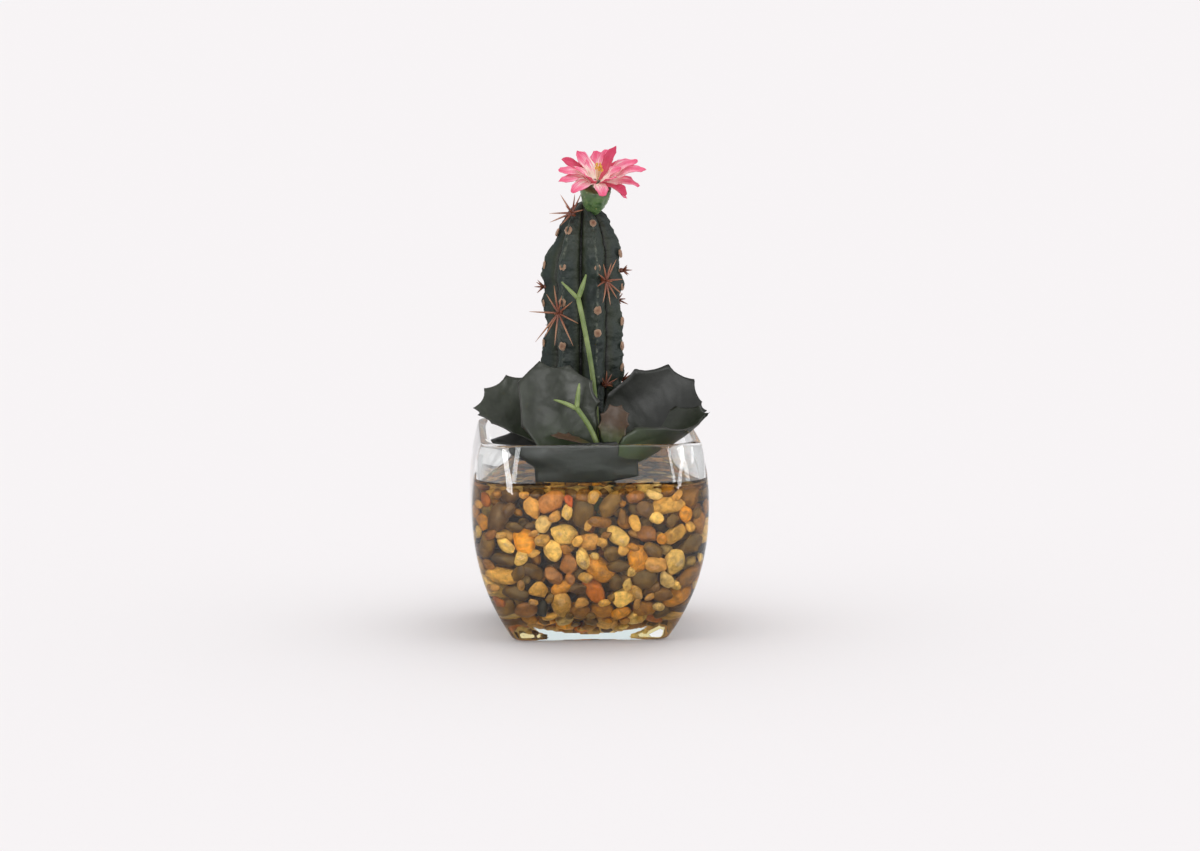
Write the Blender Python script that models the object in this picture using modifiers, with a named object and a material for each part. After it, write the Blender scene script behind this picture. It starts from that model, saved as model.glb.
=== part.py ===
"""Cactus and succulent arrangement: a ribbed column cactus with a pink flower and a toothed
succulent rosette, set in clear resin and river pebbles in a bulged square glass vase.

Metres, +Z up. The origin is the middle of the vase's flat foot. The front faces -Y.
"""

import math
import random

import bmesh
import bpy
from mathutils import Matrix, Vector

MM = 0.001
SEAT_GAP = 0.3 * MM

# Glass vase, all widths measured from its axis to the middle of a side
VASE_HEIGHT = 83 * MM
BELLY_HEIGHT = 56 * MM
BELLY_HALF = 49 * MM
FOOT_DRAW = 17 * MM
MOUTH_DRAW = 4 * MM
BELLY_CORNER = 20 * MM
FOOT_CORNER = 4.5 * MM
MOUTH_CORNER = 11 * MM
WALL = 3.2 * MM
FLOOR_THICKNESS = 4 * MM
FLOOR_BOWL = 13 * MM
BOWL_STEPS = (0.02, 0.12, 0.3, 0.6, 1.0)
FOOT_EDGE = 1.2 * MM
LIP_EDGE = 0.9 * MM
CORNER_STEPS = 6

# Clear resin and the pebbles in it
WATER_LEVEL = 67 * MM
RESIN_JACKET = 0.9 * MM
RESIN_TOP_LAYER = 2.4 * MM
BED_CENTRE = Vector((0, 0, 36)) * MM
BED_CORE_INSET = 1.6 * MM
STONE_SEED = 7
STONE_PACKING = 0.8
# Half width in mm of the large stones, and how many places are tried for each size
LARGE_STONES = ((5.4, 90), (4.9, 170), (4.4, 190))

# Column cactus
CACTUS_X = -1 * MM
CACTUS_Y = 6 * MM
CACTUS_TOP = 178 * MM
CACTUS_SHOULDER = 146 * MM
CACTUS_RADIUS = 16 * MM
CACTUS_PLUG_RADIUS = 11.5 * MM
CACTUS_PLUG_BOTTOM = 40 * MM
RIBS = 7
RIB_DEPTH = 3.4 * MM
FIRST_RIB_ANGLE = math.radians(17)
POINTS_PER_RIB = 6

# Flower on the cactus
FLOWER_SEAT = Vector((2.5, 3.0, 172.5)) * MM
FLOWER_TILT_FORWARD = math.radians(28)
FLOWER_TILT_RIGHT = math.radians(5)
RECEPTACLE_HEIGHT = 14.5 * MM
RECEPTACLE_RADIUS = 6.3 * MM

# Rosette stem, which every succulent leaf grows from
STEM_X = 4.5 * MM
STEM_Y = -24.5 * MM
STEM_RADIUS = 5.6 * MM
STEM_TOP = 74.5 * MM
STEM_BOTTOM = 46 * MM


def clear_scene():
    for obj in list(bpy.data.objects):
        bpy.data.objects.remove(obj)


def new_collection(name, hidden=False):
    made = bpy.data.collections.new(name)
    bpy.context.scene.collection.children.link(made)
    made.hide_render = hidden
    return made


def new_material(name, colour, roughness, metallic=0.0, transmission=0.0):
    made = bpy.data.materials.new(name)
    made.use_nodes = True
    shader = made.node_tree.nodes["Principled BSDF"]
    shader.inputs["Base Color"].default_value = (*colour, 1)
    shader.inputs["Roughness"].default_value = roughness
    shader.inputs["Metallic"].default_value = metallic
    shader.inputs["Transmission Weight"].default_value = transmission
    made.diffuse_color = (*colour, 1)
    return made


def mesh_object(name, points, faces, collection, material=None, smooth=True):
    mesh = bpy.data.meshes.new(name)
    mesh.from_pydata([tuple(p) for p in points], [], faces)
    mesh.validate()
    if smooth:
        mesh.shade_smooth()
        mesh.set_sharp_from_angle(angle=math.radians(40))
    if material:
        mesh.materials.append(material)
    made = bpy.data.objects.new(name, mesh)
    collection.objects.link(made)
    return made


def loft(rings):
    """Points and faces of the closed solid through rings of equal count, with flat ends."""
    count = len(rings[0])
    points = [p for ring in rings for p in ring]
    faces = [list(range(count))[::-1]]
    for k in range(len(rings) - 1):
        low = k * count
        for i in range(count):
            j = (i + 1) % count
            faces.append([low + i, low + j, low + count + j, low + count + i])
    last = (len(rings) - 1) * count
    faces.append([last + i for i in range(count)])
    return points, faces


def apply_boolean(obj, operation, other=None, collection=None, solver="MANIFOLD"):
    modifier = obj.modifiers.new(operation.lower(), "BOOLEAN")
    modifier.operation = operation
    modifier.solver = solver
    if collection:
        modifier.operand_type = "COLLECTION"
        modifier.collection = collection
    else:
        modifier.object = other
    graph = bpy.context.evaluated_depsgraph_get()
    solid = bpy.data.meshes.new_from_object(obj.evaluated_get(graph))
    solid.materials.clear()
    for material in obj.data.materials:
        solid.materials.append(material)
    obj.modifiers.clear()
    obj.data = solid
    obj.data.shade_smooth()
    obj.data.set_sharp_from_angle(angle=math.radians(40))


def remove_objects(objects):
    for obj in list(objects):
        bpy.data.objects.remove(obj)


def fuse(body, parts_collection):
    """Joins every object of the collection into body and removes them."""
    apply_boolean(body, "UNION", collection=parts_collection, solver="MANIFOLD")
    remove_objects(parts_collection.objects)


# Vase sections


def smooth_share(value):
    value = min(max(value, 0.0), 1.0)
    return value * value * (3 - 2 * value)


def outer_half(z):
    """Half width of the vase's outside at height z."""
    if z < BELLY_HEIGHT:
        return BELLY_HALF - FOOT_DRAW * ((BELLY_HEIGHT - z) / BELLY_HEIGHT) ** 2.26
    rise = (z - BELLY_HEIGHT) / (VASE_HEIGHT - BELLY_HEIGHT)
    return BELLY_HALF - MOUTH_DRAW * rise**2.1


def outer_corner(z):
    if z < BELLY_HEIGHT:
        fall = (BELLY_HEIGHT - z) / BELLY_HEIGHT
        return BELLY_CORNER - (BELLY_CORNER - FOOT_CORNER) * fall**1.6
    rise = (z - BELLY_HEIGHT) / (VASE_HEIGHT - BELLY_HEIGHT)
    return BELLY_CORNER - (BELLY_CORNER - MOUTH_CORNER) * rise**1.8


def bowl_curve(rise):
    return (1 - (1 - rise) ** 2.6) ** (1 / 2.6)


def bowl_share(rise):
    """The bowl's width in straight steps, so every wall that follows it has the same corners."""
    rise = min(max(rise, BOWL_STEPS[0]), 1.0)
    for low, high in zip(BOWL_STEPS, BOWL_STEPS[1:]):
        if rise <= high:
            part = (rise - low) / (high - low)
            return bowl_curve(low) * (1 - part) + bowl_curve(high) * part
    return 1.0


def cavity_half(z, inset=0.0):
    """Half width of the vase's inside at height z, drawn in by inset all round."""
    floor = FLOOR_THICKNESS + inset
    return (outer_half(z) - WALL - inset) * bowl_share((z - floor) / FLOOR_BOWL)


def cavity_corner(z, inset=0.0):
    half = cavity_half(z, inset)
    return min(max(outer_corner(z) - WALL - inset, 0.34 * half), 0.9 * half)


def rounded_square(half, corner, z, steps=CORNER_STEPS):
    """Points of a square with round corners, anticlockwise, with one point at mid side."""
    points = []
    straight = half - corner
    for side in range(4):
        turn = side * math.pi / 2
        mid = Vector((half, 0.0))
        centre = Vector((straight, straight))
        outline = [mid]
        for step in range(steps + 1):
            angle = math.pi / 2 * step / steps
            outline.append(centre + corner * Vector((math.cos(angle), math.sin(angle))))
        for point in outline:
            x = point.x * math.cos(turn) - point.y * math.sin(turn)
            y = point.x * math.sin(turn) + point.y * math.cos(turn)
            points.append(Vector((x, y, z)))
    return points


def spaced(low, high, count):
    return [low + (high - low) * i / (count - 1) for i in range(count)]


def cavity_rings(inset, top, count):
    """Rings of the vase's inside from its floor up to top, drawn in by inset."""
    floor = FLOOR_THICKNESS + inset
    bowl = [floor + FLOOR_BOWL * share for share in BOWL_STEPS[:-1]]
    heights = bowl + spaced(floor + FLOOR_BOWL, top, count)
    rings = []
    for height in heights:
        z = floor if height == bowl[0] else height
        half = cavity_half(height, inset)
        rings.append(rounded_square(half, cavity_corner(height, inset), z))
    return rings


def build_vase(collection, glass):
    """One pressed glass body: a thick foot, bulged walls and a rounded lip."""
    rings = []
    foot_half = outer_half(0) - FOOT_EDGE
    rings.append(rounded_square(foot_half, FOOT_CORNER, 0))
    rings.append(rounded_square(outer_half(0) - 0.25 * FOOT_EDGE, FOOT_CORNER, 0.4 * FOOT_EDGE))
    for z in spaced(FOOT_EDGE, VASE_HEIGHT - LIP_EDGE, 9):
        rings.append(rounded_square(outer_half(z), outer_corner(z), z))
    lip = outer_half(VASE_HEIGHT)
    rings.append(rounded_square(lip - 0.3 * LIP_EDGE, MOUTH_CORNER, VASE_HEIGHT - 0.3 * LIP_EDGE))
    rings.append(rounded_square(lip - LIP_EDGE, MOUTH_CORNER, VASE_HEIGHT))
    mouth = cavity_half(VASE_HEIGHT)
    mouth_corner = cavity_corner(VASE_HEIGHT)
    rings.append(rounded_square(mouth + LIP_EDGE, mouth_corner, VASE_HEIGHT))
    rings.append(rounded_square(mouth + 0.2 * LIP_EDGE, mouth_corner, VASE_HEIGHT - 0.3 * LIP_EDGE))
    inside = cavity_rings(0.0, VASE_HEIGHT - LIP_EDGE, 6)
    rings.extend(reversed(inside))
    points, faces = loft(rings)
    return mesh_object("glass_vase", points, faces, collection, glass)


def cylinder(name, radius, x, y, low, high, collection, sides=24):
    bpy.ops.mesh.primitive_cylinder_add(
        vertices=sides, radius=radius, depth=high - low, location=(x, y, (low + high) / 2)
    )
    made = bpy.context.object
    made.name = name
    for old in list(made.users_collection):
        old.objects.unlink(made)
    collection.objects.link(made)
    return made


def planting_holes(collection):
    """Cutters for the plain holes that the cactus, the rosette stem and the rear sprig stand in."""
    cactus = cylinder(
        "hole_cactus",
        CACTUS_PLUG_RADIUS + SEAT_GAP,
        CACTUS_X,
        CACTUS_Y,
        CACTUS_PLUG_BOTTOM - SEAT_GAP,
        VASE_HEIGHT,
        collection,
    )
    stem = cylinder(
        "hole_stem",
        STEM_RADIUS + SEAT_GAP,
        STEM_X,
        STEM_Y,
        STEM_BOTTOM - SEAT_GAP,
        VASE_HEIGHT,
        collection,
        sides=16,
    )
    sprig = cylinder(
        "hole_sprig",
        SPRIG_RADIUS + SEAT_GAP,
        REAR_SPRIG_ROUTE[0][0] * MM,
        REAR_SPRIG_ROUTE[0][1] * MM,
        REAR_SPRIG_ROUTE[0][2] * MM - SEAT_GAP,
        VASE_HEIGHT,
        collection,
        sides=10,
    )
    return [cactus, stem, sprig]


def build_resin(collection, cutters, resin):
    """The clear resin that looks like water: a jacket round the pebbles and a layer over them."""
    points, faces = loft(cavity_rings(SEAT_GAP, WATER_LEVEL, 5))
    body = mesh_object("clear_resin", points, faces, collection, resin)
    bed_top = WATER_LEVEL - RESIN_TOP_LAYER
    points, faces = loft(cavity_rings(SEAT_GAP + RESIN_JACKET, bed_top, 5))
    room = mesh_object("room_for_pebbles", points, faces, cutters)
    apply_boolean(body, "DIFFERENCE", other=room)
    for hole in planting_holes(cutters):
        apply_boolean(body, "DIFFERENCE", other=hole)
    remove_objects(cutters.objects)
    return body


# Pebble bed


def wall_distance(point, inset):
    """How far a point lies inside the vase's inside drawn in by inset, in plan."""
    half = cavity_half(point.z, inset)
    straight = half - cavity_corner(point.z, inset)
    x = max(abs(point.x) - straight, 0.0)
    y = max(abs(point.y) - straight, 0.0)
    return half - straight - math.hypot(x, y)


def bed_top():
    return WATER_LEVEL - RESIN_TOP_LAYER - SEAT_GAP


def room_at(point, inset):
    """How far a point lies inside the room for the stones: its walls, its floor and its top."""
    floor = FLOOR_THICKNESS + inset
    return min(wall_distance(point, inset), point.z - floor, bed_top() - point.z)


def way_out(point, inset):
    """The direction in which the side of the room is nearest."""
    step = 0.2 * MM
    slope = []
    for axis in (Vector((step, 0, 0)), Vector((0, step, 0)), Vector((0, 0, step))):
        slope.append(room_at(point - axis, inset) - room_at(point + axis, inset))
    return Vector(slope).normalized()


def wall_spot(direction, inset):
    """Where a line from the bed's middle meets the side of its room."""
    near, far = 0.0, 90 * MM
    for _ in range(20):
        middle = (near + far) / 2
        if room_at(BED_CENTRE + direction * middle, inset) > 0:
            near = middle
        else:
            far = middle
    return BED_CENTRE + direction * near


def stone_turn(out, draw):
    """A stone's place against the wall: flattest the way out, with its own lean, spin and shape."""
    facing = out.to_track_quat("Z", "Y").to_matrix().to_4x4()
    lean = Matrix.Rotation(draw.gauss(0, 0.25), 4, "X") @ Matrix.Rotation(draw.gauss(0, 0.25), 4, "Y")
    spin = Matrix.Rotation(draw.uniform(0, 2 * math.pi), 4, "Z")
    shape = (draw.uniform(1.0, 1.18), draw.uniform(0.8, 1.0), draw.uniform(0.56, 0.72))
    return facing @ lean @ spin @ Matrix.Diagonal((*shape, 1))


def pushed_in(centre, corners, inset):
    """The stone's centre once every corner lies in the room, or None where it won't fit."""
    for _ in range(12):
        short, corner = min((room_at(centre + c, inset), k) for k, c in enumerate(corners))
        if short > -1e-7:
            return centre
        centre = centre + way_out(centre + corners[corner], inset) * (short - 0.05 * MM)
    return None


def scatter_large_stones(inset):
    """Centre, half width and turn of every large stone, placed by a seeded rule."""
    draw = random.Random(STONE_SEED)
    high = (1 + 5**0.5) / 2
    corners = []
    for a in (-1, 1):
        for b in (-high, high):
            corners += [Vector((0, a, b)), Vector((a, b, 0)), Vector((b, 0, a))]
    corners = [c.normalized() for c in corners]
    placed = []
    for half, tries in LARGE_STONES:
        for _ in range(tries):
            radius = half * draw.uniform(0.9, 1.1) * MM
            direction = Vector((draw.gauss(0, 1), draw.gauss(0, 1), draw.gauss(0, 1))).normalized()
            spot = wall_spot(direction, inset)
            out = way_out(spot, inset)
            turn = stone_turn(out, draw)
            reach = [radius * (turn @ c) for c in corners]
            centre = pushed_in(spot - out * 0.6 * radius, reach, inset)
            if centre and all((centre - c).length > STONE_PACKING * (radius + r) for c, r, _ in placed):
                placed.append((centre, radius, turn))
    return placed


def pebble(name, centre, radius, turn, collection):
    mesh = bpy.data.meshes.new(name)
    shape = bmesh.new()
    bmesh.ops.create_icosphere(shape, subdivisions=1, radius=0.98 * radius)
    bmesh.ops.transform(shape, matrix=Matrix.Translation(centre) @ turn, verts=shape.verts)
    shape.to_mesh(mesh)
    shape.free()
    made = bpy.data.objects.new(name, mesh)
    collection.objects.link(made)


def build_pebble_bed(collection, helpers, cutters, stone):
    """The large river pebbles, fused to a core that stands for all the stones behind them."""
    inset = 2.5 * SEAT_GAP + RESIN_JACKET
    points, faces = loft(cavity_rings(inset + BED_CORE_INSET, bed_top() - BED_CORE_INSET, 4))
    bed = mesh_object("pebble_bed", points, faces, collection, stone)
    placed = scatter_large_stones(inset)
    for k, (centre, radius, turn) in enumerate(placed):
        pebble(f"pebble_{k}", centre, radius, turn, helpers)
    fuse(bed, helpers)
    for hole in planting_holes(cutters):
        apply_boolean(bed, "DIFFERENCE", other=hole)
    remove_objects(cutters.objects)
    return bed


# Cactus


def cactus_radius(z):
    """Radius of the column at its rib crests."""
    if z > CACTUS_SHOULDER:
        share = min((z - CACTUS_SHOULDER) / (CACTUS_TOP - CACTUS_SHOULDER), 1.0)
        return CACTUS_RADIUS * max(1 - share**2.2, 0.0) ** 0.6
    foot = smooth_share((z - WATER_LEVEL - MM) / (22 * MM))
    return CACTUS_PLUG_RADIUS + (CACTUS_RADIUS - CACTUS_PLUG_RADIUS) * foot


def rib_depth(z):
    rise = smooth_share((z - WATER_LEVEL - 2 * MM) / (18 * MM))
    return RIB_DEPTH * rise * min(cactus_radius(z) / CACTUS_RADIUS, 1.0)


def crest_angle(rib):
    return FIRST_RIB_ANGLE + 2 * math.pi * rib / RIBS


def on_cactus(angle, z, out=0.0):
    """A point of the cactus: angle 0 faces the front, and positive turns to the right."""
    share = ((angle - FIRST_RIB_ANGLE) * RIBS / (2 * math.pi)) % 1.0
    from_crest = 2 * min(share, 1 - share)
    radius = cactus_radius(z) - rib_depth(z) * from_crest**1.5 + out
    radius += rib_swell(angle, z)
    return Vector(
        (CACTUS_X + radius * math.sin(angle), CACTUS_Y - radius * math.cos(angle), z)
    )


# Heights in mm of the wool pads up each rib crest. The first three ribs face the front.
PAD_HEIGHTS = (
    (105, 124.5, 134, 151.5, 169.5),
    (109, 118, 128.5, 143, 156.5),
    (98, 113, 130, 147, 163),
    (104, 121, 138, 155),
    (96, 112, 129, 146, 162),
    (101, 119, 136, 151.5, 165),
    (103, 119, 137, 152, 166.5),
)
PAD_RADIUS = 1.9 * MM


def rib_swell(angle, z):
    """The low wart under each wool pad, which makes the crest wavy."""
    swell = 0.0
    for rib, heights in enumerate(PAD_HEIGHTS):
        turn = (angle - crest_angle(rib) + math.pi) % (2 * math.pi) - math.pi
        if abs(turn) > 0.25:
            continue
        side = 1 - (turn / 0.25) ** 2
        for height in heights:
            near = (z - height * MM) / (4.5 * MM)
            swell = max(swell, 0.7 * MM * side * math.exp(-near * near))
    return swell


def outward(angle, z):
    """Unit normal of the column's envelope."""
    step = 0.5 * MM
    slope = (cactus_radius(z + step) - cactus_radius(z - step)) / (2 * step)
    return Vector((math.sin(angle), -math.cos(angle), -slope)).normalized()


def build_cactus(collection, helpers, cutters, skin):
    heights = [CACTUS_PLUG_BOTTOM, WATER_LEVEL, WATER_LEVEL + 6 * MM, WATER_LEVEL + 14 * MM]
    heights += spaced(WATER_LEVEL + 24 * MM, CACTUS_SHOULDER, 7)
    dome = CACTUS_TOP - CACTUS_SHOULDER
    heights += [CACTUS_SHOULDER + dome * share for share in (0.25, 0.48, 0.68, 0.84, 0.95)]
    count = RIBS * POINTS_PER_RIB
    rings = []
    for z in heights:
        ring = []
        for i in range(count):
            angle = FIRST_RIB_ANGLE + 2 * math.pi * i / count
            ring.append(on_cactus(angle, z))
        rings.append(ring)
    points, faces = loft(rings)
    column = mesh_object("cactus_column", points, faces, collection, skin)
    for rib, pads in enumerate(PAD_HEIGHTS):
        for height in pads:
            angle = crest_angle(rib)
            normal = outward(angle, height * MM)
            centre = on_cactus(angle, height * MM) + normal * 0.1 * MM
            bpy.ops.mesh.primitive_cone_add(
                vertices=6, radius1=1.25 * PAD_RADIUS, radius2=0.6 * PAD_RADIUS, depth=1.6 * MM
            )
            pad = bpy.context.object
            pad.matrix_world = (
                Matrix.Translation(centre) @ normal.to_track_quat("Z", "Y").to_matrix().to_4x4()
            )
            pad.name = f"pad_{rib}_{height}"
            for old in list(pad.users_collection):
                old.objects.unlink(pad)
            helpers.objects.link(pad)
    bpy.context.view_layer.update()
    fuse(column, helpers)
    seat = receptacle("seat_for_flower", SEAT_GAP, cutters)
    apply_boolean(column, "DIFFERENCE", other=seat)
    remove_objects(cutters.objects)
    return column


# Spines: each cluster is a star of needles on a small hub, set on the cactus by a short peg

NEEDLE_RADIUS = 0.42 * MM
HUB_RADIUS = 1.15 * MM

# Tips in mm, right and up from the hub, of the three stars that the front shows best
FRONT_LEFT_TIPS = (
    (-12.1, 0.4), (-5.0, 7.9), (-1.9, 11.7), (1.3, 7.5), (5.6, 5.2), (8.0, -3.8),
    (5.8, -13.0), (-1.7, -13.3), (-9.6, -12.1), (-5.8, -10.0),
)
FRONT_RIGHT_TIPS = (
    (-1.3, 7.1), (2.1, 7.4), (4.2, 8.8), (7.1, 0.4), (6.7, -5.8), (4.6, -7.6),
    (1.7, -10.0), (-1.5, -8.8), (-3.8, -2.1), (-3.4, 3.2),
)
SHOULDER_TIPS = (
    (-4.4, 6.9), (1.3, 7.4), (3.9, 8.0), (-9.2, -0.6), (-9.2, -4.0), (-5.0, -5.0), (4.4, 1.6),
)

BASE_TIPS = ((-2.2, 4.5), (0.2, 8.0), (3.5, 7.5), (7.0, 4.5), (4.6, 0.6), (2.0, 5.0))

# Name, angle round the column, height and peg length in mm of the hub, direction it faces, tips
CLUSTERS = (
    ("spines_front_left", -40, 131.5, 2.3, -24, FRONT_LEFT_TIPS),
    ("spines_front_right", 33, 145, 3.8, 28, FRONT_RIGHT_TIPS),
    ("spines_shoulder", -47, 171.5, 2.3, -47, SHOULDER_TIPS),
    ("spines_left", -86, 142.5, 1.7, -86, None),
    ("spines_right_upper", 72, 149.5, 1.9, 74, None),
    ("spines_right_lower", 72, 104, 1.9, 74, None),
    ("spines_base", 33, 103, 3.8, 30, BASE_TIPS),
    ("spines_back_right", 120, 136, 1.7, 120, None),
    ("spines_back", 171.3, 158, 1.7, 171.3, None),
    ("spines_back_left", 222.7, 124.5, 1.7, 222.7, None),
)


def needle(name, start, tip, collection):
    along = tip - start
    mesh = bpy.data.meshes.new(name)
    shape = bmesh.new()
    bmesh.ops.create_cone(
        shape,
        cap_ends=True,
        segments=3,
        radius1=NEEDLE_RADIUS,
        radius2=0.0,
        depth=along.length,
        matrix=Matrix.Translation((0, 0, along.length / 2)),
    )
    turn = along.to_track_quat("Z", "Y").to_matrix().to_4x4()
    bmesh.ops.transform(shape, matrix=Matrix.Translation(start) @ turn, verts=shape.verts)
    shape.to_mesh(mesh)
    shape.free()
    collection.objects.link(bpy.data.objects.new(name, mesh))


def build_cluster(spec, collection, helpers, brown):
    name, angle, height, peg, facing, tips = spec
    angle = math.radians(angle)
    facing = math.radians(facing)
    z = height * MM
    normal = outward(facing, z)
    surface = on_cactus(angle, z)
    hub = surface + outward(angle, z) * peg * MM
    root = surface + outward(angle, z) * (SEAT_GAP + 0.4 * MM)
    directions = []
    if tips:
        for right, up in tips:
            lift = 0.17 * math.hypot(right, up) * MM + 0.4 * MM
            depth = (lift - normal.x * right * MM - normal.z * up * MM) / normal.y
            directions.append(Vector((right * MM, depth, up * MM)))
        directions.append(normal * 5 * MM)
    else:
        draw = random.Random(height * 10 + round(math.degrees(angle)))
        side = Vector((math.cos(facing), math.sin(facing), 0))
        rise = side.cross(-normal).normalized()
        for k in range(7):
            turn = 2 * math.pi * (k + draw.uniform(-0.3, 0.3)) / 7
            flat = side * math.cos(turn) + rise * math.sin(turn)
            length = draw.uniform(3.4, 5.4) * MM
            directions.append((flat * 0.9 + normal * draw.uniform(0.6, 0.9)) * length)
        directions.append(normal * 4 * MM)
    mesh = bpy.data.meshes.new(name)
    shape = bmesh.new()
    bmesh.ops.create_cone(
        shape,
        cap_ends=True,
        segments=6,
        radius1=HUB_RADIUS,
        radius2=0.7 * HUB_RADIUS,
        depth=(hub - root).length + 0.5 * MM,
    )
    turn = (hub - root).to_track_quat("Z", "Y").to_matrix().to_4x4()
    middle = (root + hub) / 2 + (hub - root).normalized() * 0.25 * MM
    bmesh.ops.transform(shape, matrix=Matrix.Translation(middle) @ turn, verts=shape.verts)
    shape.to_mesh(mesh)
    shape.free()
    mesh.materials.append(brown)
    body = bpy.data.objects.new(name, mesh)
    collection.objects.link(body)
    for k, direction in enumerate(directions):
        start = hub - direction.normalized() * 0.25 * MM
        needle(f"needle_{k}", start, hub + direction, helpers)
    fuse(body, helpers)
    return body


# Blades: one function makes every leaf and petal


def blade_outline(length, width, base_half, teeth, tooth, widest, rows_per_tooth=3):
    """Half outline from base to tip: plain (s, half width) and toothed (s, half width)."""
    fine = 200
    centre = widest * length
    base_angle = math.pi
    plain = []
    for i in range(fine + 1):
        turn = base_angle * (1 - i / fine)
        s = centre + (length - centre if turn < math.pi / 2 else centre) * math.cos(turn)
        half = width / 2 * math.sin(turn) ** 0.9
        if turn > math.pi / 2:
            share = (1 - s / centre) ** 1.5
            half = max(half * (1 - 0.35 * share), base_half)
        plain.append((s, half))
    arc = [0.0]
    for (s0, h0), (s1, h1) in zip(plain, plain[1:]):
        arc.append(arc[-1] + math.hypot(s1 - s0, h1 - h0))
    rows = rows_per_tooth * teeth
    found = []
    for k in range(rows + 1):
        target = arc[-1] * k / rows
        i = min(range(len(arc)), key=lambda n: abs(arc[n] - target))
        s, half = plain[i]
        cusp = abs(2 * ((k / rows_per_tooth) % 1.0) - 1) ** 2.2
        fade = smooth_share(k / rows * 2.2 - 0.25)
        out = tooth * cusp * fade
        away = Vector((s - centre, half))
        away = away.normalized() if away.length else Vector((1, 0))
        found.append(((s, half), (s + away.x * out, half + away.y * out)))
    return found


def blade_points(spec, columns, rows_per_tooth=3):
    """Upper and lower point grids of a cupped, bent blade, as lists of rows."""
    base = Vector(spec["base"]) * MM
    start_aim = Vector(spec["aim"]).normalized()
    end_aim = Vector(spec["tip_aim"]).normalized()
    facing = Vector(spec["facing"])
    length = spec["length"] * MM
    thick = spec["thick"] * MM
    outline = blade_outline(
        length,
        spec["width"] * MM,
        spec["base_half"] * MM,
        spec["teeth"],
        spec["tooth"] * MM,
        spec["widest"],
        rows_per_tooth,
    )
    cup_base, cup_tip = spec["cup"]
    rib = [base]
    aims = []
    steps = 60
    for i in range(steps + 1):
        aims.append(start_aim.slerp(end_aim, i / steps))
        rib.append(rib[-1] + aims[-1] * (length * 1.1 / steps))

    def place(s, t, offset):
        share = min(max(s / (length * 1.1), 0.0), 1.0) * steps
        i = min(int(share), steps - 1)
        along = aims[i]
        point = rib[i].lerp(rib[i + 1], share - i)
        side = along.cross(facing).normalized()
        normal = side.cross(along).normalized()
        cup = (cup_base + (cup_tip - cup_base) * min(s / length, 1.0)) * MM
        turn = t / cup
        wave = spec.get("wave", 0.0) * MM * math.sin(s / length * 9 + spec["base"][0])
        rise = wave * (t / (spec["width"] * MM / 2)) ** 2
        local = normal * math.cos(turn) - side * math.sin(turn)
        across = side * (cup * math.sin(turn))
        return point + across + normal * (cup * (1 - math.cos(turn)) + rise) + local * offset

    upper, lower = [], []
    for k, (plain, toothed) in enumerate(outline):
        if k == len(outline) - 1:
            tip = place(toothed[0], 0.0, 0.0)
            return upper, lower, tip
        half_thick = 0.5 * thick * (1 - 0.35 * k / len(outline))
        row_up, row_low = [], []
        for c in range(columns + 1):
            v = 2 * c / columns - 1
            edge = abs(v) > 0.999
            s = toothed[0] if edge else plain[0]
            t = (toothed[1] if edge else plain[1]) * v * spec["sides"][v > 0]
            thin = half_thick * (1 - 0.5 * v * v)
            row_up.append(place(s, t, thin))
            row_low.append(place(s, t, -thin))
        upper.append(row_up)
        lower.append(row_low)


def blade_mesh(spec, columns, rows_per_tooth=3):
    """Points and triangles of a closed blade, split alike on both faces."""
    upper, lower, tip = blade_points(spec, columns, rows_per_tooth)
    across = columns + 1
    rows = len(upper)
    points = [p for row in upper for p in row] + [p for row in lower for p in row] + [tip]
    below = rows * across
    tip_index = len(points) - 1
    faces = []
    for r in range(rows - 1):
        for c in range(columns):
            a, b = r * across + c, r * across + c + 1
            d, e = a + across, b + across
            faces += [(a, b, e), (a, e, d)]
            faces += [(below + b, below + a, below + e), (below + a, below + d, below + e)]
        for c, flip in ((0, False), (columns, True)):
            a, d = r * across + c, (r + 1) * across + c
            low_a, low_d = below + a, below + d
            side = [(a, d, low_a), (d, low_d, low_a)]
            faces += [face[::-1] for face in side] if flip else side
    for c in range(columns):
        faces.append((c + 1, c, below + c))
        faces.append((c + 1, below + c, below + c + 1))
        last = (rows - 1) * across + c
        faces.append((last, last + 1, tip_index))
        faces.append((below + last + 1, below + last, tip_index))
    first, last = (rows - 1) * across, (rows - 1) * across + columns
    faces.append((below + first, first, tip_index))
    faces.append((last, below + last, tip_index))
    return points, faces


def leaf(base, aim, tip_aim, facing, length, width, cup, teeth=5, tooth=3.0, **more):
    spec = dict(
        base=base, aim=aim, tip_aim=tip_aim, facing=facing, length=length, width=width,
        cup=cup, teeth=teeth, tooth=tooth, thick=1.5, base_half=3.0, widest=0.6, sides=(1, 1),
    )
    spec.update(more)
    return spec


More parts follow.
